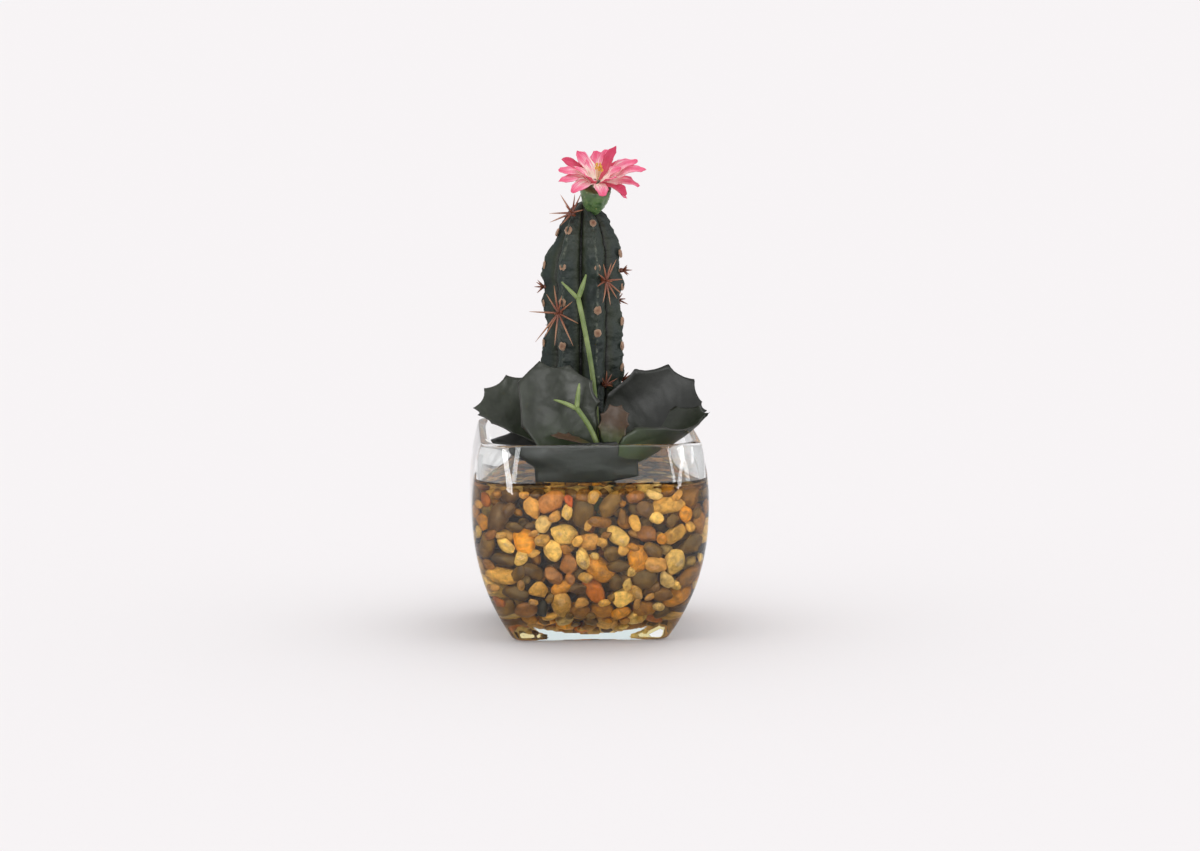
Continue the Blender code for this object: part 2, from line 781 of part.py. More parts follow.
# Leaves of the succulent, in mm
LEAVES = {
    "leaf_left": leaf(
        (-1.9, -22.9, 72.6), (-0.76, 0.04, 0.65), (-0.98, 0.08, 0.17), (0.1, -0.84, 0.53),
        51, 45, (36, 36), wave=1.2, widest=0.62, sides=(0.6, 0.98),
    ),
    "leaf_back_left": leaf(
        (0.5, -30.2, 72.0), (-0.46, 0.02, 0.88), (-0.62, 0.24, 0.73), (0.1, -0.95, 0.25),
        46, 35, (28, 28), wave=0.6, base_half=2.3, widest=0.66,
    ),
    "leaf_back_right": leaf(
        (8.75, -19.65, 71.5), (0.68, 0.22, 0.7), (0.92, 0.25, 0.28), (0.14, -0.9, 0.42),
        49, 46, (32, 32), wave=1.0, widest=0.5, sides=(1, 0.42),
    ),
    "leaf_right": leaf(
        (11.5, -27.2, 70.4), (0.46, -0.06, 0.88), (1.0, 0.05, 0.04), (-0.1, -0.1, 0.99),
        46, 33, (9, 22), base_half=8, widest=0.45, sides=(0.62, 1),
    ),
    "leaf_front": leaf(
        (-0.6, -37.6, 68.2), (-0.05, -0.3, 0.95), (-0.05, -0.05, 1.0), (-0.04, 0.95, 0.3),
        13, 48, (60, 60), teeth=4, tooth=1.2, widest=0.62, base_half=7, sides=(0.5, 1),
    ),
    "leaf_low_left": leaf(
        (-1.9, -22.8, 69.0), (-0.96, 0.08, 0.23), (-0.97, 0.08, 0.24), (0.2, 0.0, 0.98),
        38, 17, (26, 26), teeth=4, tooth=1.8, sides=(0.65, 1),
    ),
    "leaf_small_right": leaf(
        (8.2, -37.3, 80.4), (0.18, -0.06, 0.96), (0.42, -0.06, 0.9), (-0.3, -0.9, 0.1),
        18, 14, (14, 14), teeth=4, tooth=1.7, thick=1.1, base_half=1.8, widest=0.6,
    ),
    "leaf_small_left": leaf(
        (2.3, -36.2, 80.7), (-0.9, -0.1, 0.36), (-0.97, -0.05, 0.14), (0.0, -0.3, 0.95),
        17.5, 7.5, (9, 9), teeth=4, tooth=1.3, thick=1.0, base_half=1.4, widest=0.6,
    ),
}


def build_leaf(name, spec, collection, green):
    large = spec["length"] > 25
    points, faces = blade_mesh(spec, 6 if large else 4)
    return mesh_object(name, points, faces, collection, green)


def build_stem(collection, helpers, green):
    """The rosette's stem, with the short side shoot that the small front pieces grow from."""
    outline = [
        (0.0, STEM_BOTTOM),
        (0.75 * STEM_RADIUS, STEM_BOTTOM),
        (STEM_RADIUS, STEM_BOTTOM + 4 * MM),
        (STEM_RADIUS, STEM_TOP - 3 * MM),
        (0.8 * STEM_RADIUS, STEM_TOP - 1.2 * MM),
        (0.45 * STEM_RADIUS, STEM_TOP - 0.2 * MM),
        (0.0, STEM_TOP),
    ]
    place = Matrix.Translation((STEM_X, STEM_Y, 0))
    stem = turned("rosette_stem", outline, 16, place, collection, green)
    shoot = ((4.5, -26.5, 69.5), (4.6, -33.4, 73.5), (4.6, -35.6, 77.0), (4.6, -35.8, 79.6))
    tube("shoot", shoot, [1.6 * MM, 1.6 * MM, 2.0 * MM, 2.8 * MM], helpers)
    fuse(stem, helpers)
    return stem


def turned(name, outline, steps, matrix, collection, material=None):
    """A solid turned about Z from an outline of (radius, height), lowest first."""
    mesh = bpy.data.meshes.new(name)
    points = [(radius, 0, z) for radius, z in reversed(outline)]
    mesh.from_pydata(points, [(i, i + 1) for i in range(len(points) - 1)], [])
    made = bpy.data.objects.new(name, mesh)
    collection.objects.link(made)
    screw = made.modifiers.new("turn", "SCREW")
    screw.steps = steps
    screw.render_steps = steps
    screw.use_merge_vertices = True
    screw.merge_threshold = 0.00002
    graph = bpy.context.evaluated_depsgraph_get()
    solid = bpy.data.meshes.new_from_object(made.evaluated_get(graph))
    made.modifiers.clear()
    made.data = solid
    solid.transform(matrix)
    solid.shade_smooth()
    solid.set_sharp_from_angle(angle=math.radians(50))
    if material:
        solid.materials.append(material)
    return made


# Flower


def flower_matrix():
    lean = Matrix.Rotation(FLOWER_TILT_FORWARD, 4, "X") @ Matrix.Rotation(FLOWER_TILT_RIGHT, 4, "Y")
    return Matrix.Translation(FLOWER_SEAT) @ lean


def receptacle(name, grow, collection, material=None):
    """The green scaly cup under the petals, grown by grow to cut its seat."""
    height, radius = RECEPTACLE_HEIGHT, RECEPTACLE_RADIUS
    outline = [(0.0, -grow)]
    for share, wide in ((0.02, 0.3), (0.15, 0.56), (0.35, 0.8), (0.55, 0.94), (0.78, 1.0)):
        outline.append((radius * wide + grow, height * share - 0.5 * grow))
    outline.append((0.93 * radius + grow, height + grow))
    outline.append((0.0, height + grow))
    return turned(name, outline, 18, flower_matrix(), collection, material)


# Where each petal's tip lies from the heart in mm, right, away and up, and the petal's width
PETALS = (
    ((7.7, 2, 18.3), 6.0), ((4.2, 4, 16.9), 5.6), ((0.4, 8, 15.6), 6.0), ((-7.5, 5, 16.0), 6.4),
    ((-14.2, 4, 11.8), 6.4), ((-16.0, -2, 7.8), 6.2), ((-15.8, -6, 3.0), 6.2),
    ((-10.8, -12, -1.7), 6.4), ((1.7, -12, -3.6), 6.0), ((20.0, -1, 7.7), 7.0),
    ((16.9, 3, 11.8), 6.2), ((17.3, -2, -0.4), 6.0), ((12.4, -4, 0.2), 5.6), ((11.5, -8, -3.2), 5.6),
    ((-4, 14, 9), 6.2), ((6, 14, 9), 6.2), ((-12, 9, 8), 6.2), ((13, 11, 8), 6.2),
    ((-9, -4, 9), 5.6), ((9, -4, 10), 5.6), ((-3, 4, 13), 5.4), ((3, 5, 12), 5.4),
    ((-5, -9, 6), 5.6), ((7, -10, 5), 5.6),
)


def petal(tip, width, axis):
    """The blade of one petal: it leaves the heart steeply and bends out to its tip."""
    chord = Vector(tip)
    along = chord.normalized()
    radial = (along - axis * along.dot(axis)).normalized()
    start = (along + 0.45 * axis).normalized()
    end = 2 * along.dot(start) * along - start
    return leaf(
        tuple(radial * 1.9), start, end, axis, chord.length - 1.5, width, (5.5, 5.5),
        teeth=2, tooth=0.0, thick=0.8, base_half=1.1, widest=0.6,
    )


def build_petals(collection, helpers, pink):
    matrix = flower_matrix() @ Matrix.Translation((0, 0, RECEPTACLE_HEIGHT + SEAT_GAP))
    outline = [(0.0, 0.0), (2.9 * MM, 0.0), (3.3 * MM, 1.0 * MM), (2.4 * MM, 2.0 * MM)]
    outline.append((0.0, 2.2 * MM))
    heart = turned("flower_petals", outline, 12, matrix, collection, pink)
    axis = (matrix.to_3x3() @ Vector((0, 0, 1))).normalized()
    middle = matrix @ Vector((0, 0, 1.2 * MM))
    for k, (tip, width) in enumerate(PETALS):
        points, faces = blade_mesh(petal(tip, width, axis), 2, 2)
        blade = mesh_object(f"petal_{k}", points, faces, helpers)
        blade.data.transform(Matrix.Translation(middle))
    fuse(heart, helpers)
    return heart


def build_stamens(collection, helpers, yellow):
    matrix = flower_matrix() @ Matrix.Translation((0, 0, RECEPTACLE_HEIGHT + 2.4 * MM + 2 * SEAT_GAP))
    outline = [(0.0, 0.0), (1.0 * MM, 0.0), (0.9 * MM, 0.7 * MM), (0.0, 0.9 * MM)]
    hub = turned("flower_stamens", outline, 8, matrix, collection, yellow)
    for k in range(7):
        around = 2 * math.pi * k / 7 + 0.3
        lean = 0.16 if k % 2 else 0.3
        out = Vector((math.cos(around) * lean, math.sin(around) * lean, 1)).normalized()
        start = out * 0.35 * MM
        tip = start + out * (7.0 if k % 2 else 5.8) * MM
        needle(f"filament_{k}", matrix @ start, matrix @ tip, helpers)
        mesh = bpy.data.meshes.new(f"anther_{k}")
        shape = bmesh.new()
        bmesh.ops.create_icosphere(shape, subdivisions=1, radius=0.62 * MM)
        bmesh.ops.transform(shape, matrix=Matrix.Translation(matrix @ tip), verts=shape.verts)
        shape.to_mesh(mesh)
        shape.free()
        helpers.objects.link(bpy.data.objects.new(f"anther_{k}", mesh))
    fuse(hub, helpers)
    return hub


# Forked green sprigs: routes in mm of the stem and of its two tips

SPRIG_RADIUS = 1.0 * MM
REAR_SPRIG_ROUTE = (
    (4.2, -13.8, 60.0), (4.2, -13.8, 70.0), (3.6, -14.1, 85.0),
    (2.2, -15.0, 106.0), (-1.0, -15.6, 124.0), (-4.4, -15.6, 140.0),
)
REAR_SPRIG_TIPS = (
    ((-4.4, -15.6, 139.5), (-7.2, -15.7, 142.4), (-11.2, -15.8, 146.4)),
    ((-4.4, -15.6, 139.5), (-2.9, -15.8, 143.5), (-1.1, -15.9, 149.4)),
)
FRONT_SPRIG_ROUTE = (
    (4.6, -35.7, 80.0), (4.4, -35.7, 82.0), (2.7, -35.6, 86.5), (-0.8, -36.0, 92.0), (-4.7, -36.0, 97.0),
)
FRONT_SPRIG_TIPS = (
    ((-4.7, -36.0, 96.6), (-9.4, -35.8, 99.3), (-14.6, -35.4, 100.4)),
    ((-4.7, -36.0, 96.6), (-4.5, -35.8, 101.5), (-4.0, -35.4, 107.4)),
)


def tube(name, route, radii, collection, material=None):
    """A curve with filled caps, made a welded mesh."""
    data = bpy.data.curves.new(name, "CURVE")
    data.dimensions = "3D"
    data.bevel_depth = 1.0
    data.bevel_resolution = 1
    data.use_fill_caps = True
    spline = data.splines.new("POLY")
    spline.points.add(len(route) - 1)
    for point, place, radius in zip(spline.points, route, radii):
        point.co = (*(Vector(place) * MM), 1)
        point.radius = radius
    curve = bpy.data.objects.new(name + "_curve", data)
    collection.objects.link(curve)
    bpy.context.view_layer.update()
    graph = bpy.context.evaluated_depsgraph_get()
    mesh = bpy.data.meshes.new_from_object(curve.evaluated_get(graph))
    shape = bmesh.new()
    shape.from_mesh(mesh)
    bmesh.ops.remove_doubles(shape, verts=shape.verts, dist=1e-6)
    bmesh.ops.recalc_face_normals(shape, faces=shape.faces)
    shape.to_mesh(mesh)
    shape.free()
    bpy.data.objects.remove(curve)
    mesh.materials.clear()
    if material:
        mesh.materials.append(material)
    made = bpy.data.objects.new(name, mesh)
    collection.objects.link(made)
    return made


def build_sprig(name, route, tips, collection, helpers, light_green):
    body = tube(name, route, [SPRIG_RADIUS] * len(route), collection, light_green)
    for k, tip in enumerate(tips):
        wide = (0.9, 1.35, 0.3) if k else (0.85, 1.0, 0.25)
        tube(f"tip_{k}", tip, [SPRIG_RADIUS * w for w in wide], helpers)
    fuse(body, helpers)
    return body


def main():
    clear_scene()
    parts = new_collection("cactus_terrarium")
    helpers = new_collection("helpers", hidden=True)
    cutters = new_collection("cutters", hidden=True)
    glass = new_material("clear_glass", (0.93, 0.96, 0.97), 0.03, transmission=1.0)
    resin = new_material("clear_resin", (0.93, 0.91, 0.84), 0.02, transmission=1.0)
    stone = new_material("river_stone", (0.55, 0.40, 0.22), 0.55)
    skin = new_material("cactus_skin", (0.045, 0.065, 0.045), 0.6)
    brown = new_material("spine_brown", (0.36, 0.15, 0.08), 0.5)
    leaf_green = new_material("leaf_green", (0.055, 0.075, 0.045), 0.45)
    young_leaf = new_material("young_leaf", (0.13, 0.13, 0.05), 0.5)
    stem_green = new_material("stem_green", (0.10, 0.13, 0.06), 0.6)
    light_green = new_material("sprig_green", (0.32, 0.47, 0.11), 0.5)
    cup_green = new_material("receptacle_green", (0.10, 0.24, 0.08), 0.5)
    pink = new_material("petal_pink", (0.85, 0.22, 0.36), 0.55)
    yellow = new_material("stamen_yellow", (0.92, 0.62, 0.10), 0.5)

    build_vase(parts, glass)
    build_resin(parts, cutters, resin)
    build_pebble_bed(parts, helpers, cutters, stone)
    build_cactus(parts, helpers, cutters, skin)
    for spec in CLUSTERS:
        build_cluster(spec, parts, helpers, brown)
    receptacle("flower_receptacle", 0.0, parts, cup_green)
    build_petals(parts, helpers, pink)
    build_stamens(parts, helpers, yellow)
    build_stem(parts, helpers, stem_green)
    for name, spec in LEAVES.items():
        build_leaf(name, spec, parts, young_leaf if "small" in name else leaf_green)
    build_sprig("sprig_rear", REAR_SPRIG_ROUTE, REAR_SPRIG_TIPS, parts, helpers, light_green)
    build_sprig("sprig_front", FRONT_SPRIG_ROUTE, FRONT_SPRIG_TIPS, parts, helpers, light_green)


main()
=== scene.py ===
"""Looks of a cactus and succulent arrangement in a glass vase of resin and river pebbles.

Metres, +Z up. The origin is the middle of the vase's flat foot. The front faces -Y.
"""

import math
import random

import bpy
from mathutils import Matrix, Vector, noise


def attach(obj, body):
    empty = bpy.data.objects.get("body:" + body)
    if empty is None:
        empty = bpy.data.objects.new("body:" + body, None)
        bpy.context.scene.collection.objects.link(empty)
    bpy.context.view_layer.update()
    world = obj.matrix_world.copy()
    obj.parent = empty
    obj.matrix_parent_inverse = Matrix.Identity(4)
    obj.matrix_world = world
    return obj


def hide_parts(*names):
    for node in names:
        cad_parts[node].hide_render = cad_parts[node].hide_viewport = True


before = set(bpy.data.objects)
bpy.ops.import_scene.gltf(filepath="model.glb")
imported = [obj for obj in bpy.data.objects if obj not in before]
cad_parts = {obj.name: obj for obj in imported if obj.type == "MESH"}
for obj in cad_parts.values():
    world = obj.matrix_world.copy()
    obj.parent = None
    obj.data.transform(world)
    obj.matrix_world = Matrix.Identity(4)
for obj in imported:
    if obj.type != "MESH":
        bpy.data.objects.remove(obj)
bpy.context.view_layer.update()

# Glass vase
# One heavy body of clear pressed glass: a thick square foot, bulged walls and a rounded lip.
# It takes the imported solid's form, with its faces merged, subdivided and smoothed.

MM = 0.001
GLASS_IOR = 1.5
WATER_LEVEL = 67 * MM
FLOOR_TOP = 4 * MM
FOOT_HALF = 32 * MM
# A face this near a flat's height belongs to it, and a narrow strip keeps the flat's edge crisp
ON_FLAT = 0.01 * MM
CRISP_EDGE = 0.8 * MM
QUAD_LIMIT = math.radians(80)
# The inner floor's painted glow ends at this height, and higher in the corners
BRIGHT_FLOOR = 5.0 * MM
BRIGHT_CORNER = 4.5 * MM
# Faces of the inside that look up and lie below this are its floor
FLOOR_BELOW = 30 * MM
WETTED_FACE, GROUND_FACE, BRIGHT_FACE = 1, 2, 3
# The share of light that each clear surface holds back from what stands behind it
GLASS_SHADE = 0.06
WETTED_SHADE = 0.03


def linear(red, green, blue):
    """A screen colour, 0 to 255, as a shader's colour."""
    shares = [part / 255 for part in (red, green, blue)]
    return (*[s / 12.92 if s <= 0.04045 else ((s + 0.055) / 1.055) ** 2.4 for s in shares], 1)


def finish_named(name, **sockets):
    """A new material, its node tree and its shader, with the shader's plain values set."""
    made = bpy.data.materials.new(name)
    made.use_nodes = True
    shader = made.node_tree.nodes["Principled BSDF"]
    for socket, value in sockets.items():
        shader.inputs[socket.replace("_", " ")].default_value = value
    return made, made.node_tree, shader


def add(tree, kind, sockets=None, **settings):
    """A new node. A socket given another node's output is linked, and any other value is set."""
    made = tree.nodes.new("ShaderNode" + kind)
    for setting, value in settings.items():
        setattr(made, setting, value)
    for socket, value in (sockets or {}).items():
        if isinstance(value, bpy.types.NodeSocket):
            tree.links.new(value, made.inputs[socket])
        else:
            made.inputs[socket].default_value = value
    return made


def let_light_through(material, tree, surface, share):
    """Light reaches what stands behind the clear surface: its own shadow is only share dark."""
    path = add(tree, "LightPath")
    clear = add(tree, "BsdfTransparent", {"Color": (1 - share, 1 - share, 1 - share, 1)})
    both = add(tree, "MixShader", {0: path.outputs["Is Shadow Ray"], 1: surface, 2: clear.outputs[0]})
    tree.links.new(both.outputs[0], tree.nodes["Material Output"].inputs["Surface"])


def own_place(tree):
    """The point on the object itself."""
    return add(tree, "TexCoord").outputs["Object"]


def noise_in(tree, place, scale, detail, **sockets):
    sockets = {"Vector": place, "Scale": scale, "Detail": detail, **sockets}
    return add(tree, "TexNoise", sockets).outputs["Fac"]


def shades(tree, value, *stops):
    """A colour that follows the value through stops of (position, colour)."""
    ramp = add(tree, "ValToRGB", {"Fac": value})
    for element, stop in zip(ramp.color_ramp.elements, (stops[0], stops[-1])):
        element.position, element.color = stop
    for position, colour in stops[1:-1]:
        ramp.color_ramp.elements.new(position).color = colour
    return ramp.outputs["Color"]


def paint(tree, shader, colour):
    tree.links.new(colour, shader.inputs["Base Color"])


def emboss(tree, shader, height, strength, depth):
    """Gives the surface a relief of this depth in mm."""
    relief = add(tree, "Bump", {"Height": height, "Strength": strength, "Distance": depth * MM})
    tree.links.new(relief.outputs[0], shader.inputs["Normal"])


def mottled(name, scale, detail, *stops, relief=0.0, **sockets):
    """A finish with one noise in its colour and, where a relief in mm is given, in its surface."""
    made, tree, shader = finish_named(name, **sockets)
    cloud = noise_in(tree, own_place(tree), scale, detail)
    paint(tree, shader, shades(tree, cloud, *stops))
    if relief:
        emboss(tree, shader, cloud, 0.5, relief)
    return made


def bending(tree, tint):
    """A clear surface that bends light and reflects none."""
    return add(tree, "BsdfRefraction", {"Color": tint, "Roughness": 0.0, "IOR": GLASS_IOR}).outputs[0]


def only(piece):
    """Selects this piece and nothing else."""
    bpy.ops.object.select_all(action="DESELECT")
    piece.select_set(True)
    bpy.context.view_layer.objects.active = piece


def pick_faces(piece, wanted):
    """Goes into edit mode with only the wanted faces selected."""
    only(piece)
    bpy.ops.object.mode_set(mode="EDIT")
    bpy.ops.mesh.select_mode(type="FACE")
    bpy.ops.mesh.select_all(action="DESELECT")
    bpy.ops.object.mode_set(mode="OBJECT")
    for face in piece.data.polygons:
        face.select = wanted(face)
    bpy.ops.object.mode_set(mode="EDIT")


def leave_edit():
    bpy.ops.object.mode_set(mode="OBJECT")


def apply_modifiers(piece):
    only(piece)
    for modifier in list(piece.modifiers):
        bpy.ops.object.modifier_apply(modifier=modifier.name)


def subdivide(piece, levels):
    finer = piece.modifiers.new("finer", "SUBSURF")
    finer.levels = levels
    finer.render_levels = levels
    apply_modifiers(piece)


def hand_over(piece, slot, *solids, finish=None):
    """The piece gets its finish, rides with the object, and stands for these solids. The slot is not
    used.
    """
    if finish:
        piece.data.materials.append(finish)
    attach(piece, "root")
    if solids:
        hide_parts(*solids)


def new_object(name, data):
    made = bpy.data.objects.new(name, data)
    bpy.context.scene.collection.objects.link(made)
    return made


def copy_of_solid(node, name):
    piece = new_object(name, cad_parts[node].data.copy())
    piece.data.materials.clear()
    only(piece)
    bpy.ops.object.mode_set(mode="EDIT")
    bpy.ops.mesh.select_all(action="SELECT")
    bpy.ops.mesh.remove_doubles(threshold=0.001 * MM)
    bpy.ops.mesh.customdata_custom_splitnormals_clear()
    bpy.ops.object.mode_set(mode="OBJECT")
    return piece


def lies_flat(face, height):
    return abs(face.center.z - height) < ON_FLAT and abs(face.normal.z) > 0.99


vase = copy_of_solid("glass_vase", "vase_glass")
for flat_height in (0.0, FLOOR_TOP):
    pick_faces(vase, lambda face: lies_flat(face, flat_height))
    bpy.ops.mesh.dissolve_faces()
    bpy.ops.mesh.inset(thickness=CRISP_EDGE)
    leave_edit()
pick_faces(vase, lambda face: len(face.vertices) == 3)
bpy.ops.mesh.tris_convert_to_quads(face_threshold=QUAD_LIMIT, shape_threshold=QUAD_LIMIT)
leave_edit()
subdivide(vase, 2)
bpy.ops.object.shade_smooth()

glass, tree, shader = finish_named(
    "clear_pressed_glass",
    Base_Color=(0.975, 0.99, 0.985, 1),
    Roughness=0.0,
    IOR=GLASS_IOR,
    Transmission_Weight=1.0,
)
emboss(tree, shader, noise_in(tree, own_place(tree), 38, 1), 0.06, 1.5)
let_light_through(glass, tree, shader.outputs[0], GLASS_SHADE)

# Where the resin wets the glass there is no reflection, only the same clear body
wetted, tree, shader = finish_named("glass_against_resin")
let_light_through(wetted, tree, bending(tree, (0.98, 0.985, 0.98, 1)), WETTED_SHADE)

# The foot is ground underneath. Its band under the stones is a painted glow: the finish gives off light
# of its own, standing in for the light that the glass carries, so the band shows white.
# The inner floor has a painted glow too, and it is cooler because it is seen through the yellow resin.
ground = mottled(
    "ground_glass_foot_painted_glow", 240, 4, (0, linear(226, 234, 240)), (1, linear(252, 254, 255)),
    Roughness=0.7, Emission_Color=(0.8, 0.9, 1.0, 1), Emission_Strength=0.72,
)
inner_floor = mottled(
    "inner_floor_painted_glow", 90, 3, (0, linear(150, 168, 200)), (1, linear(176, 196, 232)),
    Roughness=0.6, Emission_Color=(0.6, 0.7, 1.0, 1), Emission_Strength=0.95,
)
for finish in (glass, wetted, ground, inner_floor):
    vase.data.materials.append(finish)


def faces_inward(face):
    """True for the faces of the vase's inside, walls and floor."""
    to_axis = face.normal.x * face.center.x + face.normal.y * face.center.y < 0
    return to_axis or (face.normal.z > 0.5 and face.center.z < FLOOR_BELOW)


for face in vase.data.polygons:
    corner = min(abs(face.center.x), abs(face.center.y)) / FOOT_HALF
    if faces_inward(face) and face.center.z < BRIGHT_FLOOR + BRIGHT_CORNER * corner**2:
        face.material_index = BRIGHT_FACE
    elif faces_inward(face) and face.center.z < WATER_LEVEL:
        face.material_index = WETTED_FACE
    elif face.center.z < 0.05 * MM and face.normal.z < -0.9:
        face.material_index = GROUND_FACE
hand_over(vase, "clear_glass", "glass_vase")

# Clear resin
# The set filling that looks like water. It wets the glass, so it takes the vase's own inside up to
# the level, reaches a hair into it, and climbs a little where it meets the wall.

MENISCUS = 0.6 * MM
# The surface's fall from the wall, as rings of width and drop
MENISCUS_RINGS = ((0.5 * MM, 0.34 * MM), (0.7 * MM, 0.2 * MM), (0.9 * MM, 0.06 * MM))
RESIN_OVERLAP = 0.05 * MM
RESIN_TINT = (0.94, 0.87, 0.64, 1)
RESIN_SHADE = 0.06
SURFACE_SHADE = 0.04
# The surface reflects this share of what still water does, so that the stones show through it
SURFACE_GLEAM = 0.5
WATER_IOR = 1.33
LIP_FROM = 75 * MM


def maths(tree, operation, *values):
    return add(tree, "Math", dict(enumerate(values)), operation=operation).outputs[0]


resin = vase.copy()
resin.data = vase.data.copy()
resin.name = "resin_fill"
for key in list(resin.keys()):
    del resin[key]
bpy.context.scene.collection.objects.link(resin)
pick_faces(resin, lambda face: not faces_inward(face) or face.center.z > LIP_FROM)
bpy.ops.mesh.delete(type="FACE")
bpy.ops.mesh.select_all(action="SELECT")
bpy.ops.mesh.bisect(
    plane_co=(0, 0, WATER_LEVEL + MENISCUS), plane_no=(0, 0, 1), use_fill=True, clear_outer=True
)
bpy.ops.mesh.select_all(action="SELECT")
bpy.ops.mesh.normals_make_consistent(inside=False)
bpy.ops.transform.shrink_fatten(value=RESIN_OVERLAP)
leave_edit()
pick_faces(resin, lambda face: face.normal.z > 0.99 and face.center.z > WATER_LEVEL)
bpy.ops.mesh.dissolve_faces()
for width, drop in MENISCUS_RINGS:
    bpy.ops.mesh.inset(thickness=width)
    bpy.ops.transform.translate(value=(0, 0, -drop))
leave_edit()
bpy.ops.object.shade_smooth()
resin.data.materials.clear()

resin_side, tree, shader = finish_named("resin_against_glass")
let_light_through(resin_side, tree, bending(tree, RESIN_TINT), RESIN_SHADE)
resin_top, tree, shader = finish_named("resin_surface")
gleam = add(tree, "BsdfGlossy", {"Color": (1, 1, 1, 1), "Roughness": 0.0}).outputs[0]
share = maths(tree, "MULTIPLY", add(tree, "Fresnel", {"IOR": WATER_IOR}).outputs[0], SURFACE_GLEAM)
both = add(tree, "MixShader", {0: share, 1: bending(tree, RESIN_TINT), 2: gleam})
let_light_through(resin_top, tree, both.outputs[0], SURFACE_SHADE)
resin.data.materials.append(resin_side)
resin.data.materials.append(resin_top)
for face in resin.data.polygons:
    if face.center.z > WATER_LEVEL - 0.2 * MM and face.normal.z > 0.3:
        face.material_index = 1
hand_over(resin, "clear_resin", "clear_resin")

# River pebbles
# Loose washed stones in cream, tan, ochre and brown, with a few of amber, rust and near black.
# They are a few forms, each copied many times, turned flat to the glass and packed by size.

# The vase's inside, all widths measured from its axis to the middle of a side
BELLY_HEIGHT = 56 * MM
BELLY_HALF = 49 * MM
VASE_HEIGHT = 83 * MM
WALL = 3.2 * MM
# How far the side draws in from the belly, and how sharply, down to the foot and up to the rim
FOOT_DRAW, FOOT_POWER = 17 * MM, 2.26
RIM_DRAW, RIM_POWER = 4 * MM, 2.1
# The upright corners' radius in mm at the belly, and what it loses down to the foot and up
CORNER_RADIUS = 20
CORNER_FOOT_LOSS, CORNER_FOOT_POWER = 15.5, 1.6
CORNER_RIM_LOSS, CORNER_RIM_POWER = 9, 1.8
FLOOR_BOWL = 13 * MM
BOWL_STEPS = (0.02, 0.12, 0.3, 0.6, 1.0)
BOWL_POWER = 2.6

# Sizes of stones as half width in mm and tries to place one, and how near two may come
STONE_SEED = 7
STONE_PACKING = 0.8
LARGE_STONES = ((5.4, 90), (4.9, 170), (4.4, 190))
SMALL_STONES = ((4.2, 500), (3.7, 900), (3.2, 1500), (2.7, 2200), (2.2, 3200))
# Where each layer of stones lies in from the glass, in mm, and how bright its stones are after painted
# shade, with deeper layers darker
LAYER_DEPTHS = (0.0, 0.0, 4.0, 8.0, 12.5)
LAYER_PAINTED_SHADE_FACTOR = (1.0, 0.95, 0.73, 0.58, 0.48)
# The room for the stones: its top, its middle, and how far in from the glass it starts
BED_TOP = 64.3 * MM
BED_CENTRE = Vector((0, 0, 36)) * MM
BED_INSET = 1.65 * MM
SMALL_INSET = 0.4 * MM
# The large stones of the solid keep clear of the glass by the resin's jacket: here they touch it
STONES_OUT = 0.9 * MM
# The corners' radius stays within these shares of the half width
LEAST_CORNER, MOST_CORNER = 0.34, 0.9
# A stone starts this share of its half width in from the wall, and is pushed in until it fits
STONE_START = 0.6
PUSHES = 12
PUSH_MORE = 0.05 * MM
FITS_WITHIN = 1e-7
# The share of its half width that has to be free where a smaller stone starts
CROWDED = 0.7
# A line from the bed's middle meets the wall within this length, found in this many halvings
BED_REACH = 90 * MM
HALVINGS = 20
# Edge of a cell in the search for neighbours, and the step that finds a wall's slope
SEARCH_CELL = 12 * MM
PROBE = 0.2 * MM
# Only stones of a smaller half width are red or near black
BRIGHT_STONES_BELOW = 3.6 * MM
# Share of the stones' red, green and blue that the resin lets through
RESIN_SHARES = (1.0, 0.97, 0.9)

# Colour on the screen, spread of light and dark, and how many of a hundred stones have it
STONE_COLOURS = (
    ((240, 206, 136), 0.06, 12),
    ((222, 176, 98), 0.10, 14),
    ((226, 198, 152), 0.08, 5),
    ((208, 158, 92), 0.12, 10),
    ((214, 148, 40), 0.12, 9),
    ((192, 108, 16), 0.12, 4),
    ((150, 104, 42), 0.2, 15),
    ((114, 86, 36), 0.2, 12),
    ((108, 80, 54), 0.2, 10),
    ((166, 112, 66), 0.14, 4),
    ((212, 96, 28), 0.1, 0.7),
    ((34, 32, 30), 0.2, 3),
)


def own_value(tree, name):
    """A value that the mesh carries."""
    return add(tree, "Attribute", attribute_name=name).outputs["Fac"]


def spread(tree, value, low, high, start=0.0, end=1.0):
    """The value, with low to high spread over start to end."""
    return add(tree, "MapRange", {"Value": value, 1: low, 2: high, 3: start, 4: end}).outputs[0]


def blended(tree, share, first, second):
    """The first colour, with this share of the second."""
    return add(tree, "Mix", {"Factor": share, 6: first, 7: second}, data_type="RGBA").outputs[2]


def scaled(tree, colour, by):
    return add(tree, "VectorMath", {0: colour, "Scale": by}, operation="SCALE").outputs[0]


def cut_flat(points, direction, depth):
    """Points that lie further than depth along direction are pressed back onto that plane."""
    return [p - direction * max(p.dot(direction) - depth, 0.0) for p in points]


def any_direction(draw):
    return Vector((draw.gauss(0, 1), draw.gauss(0, 1), draw.gauss(0, 1))).normalized()


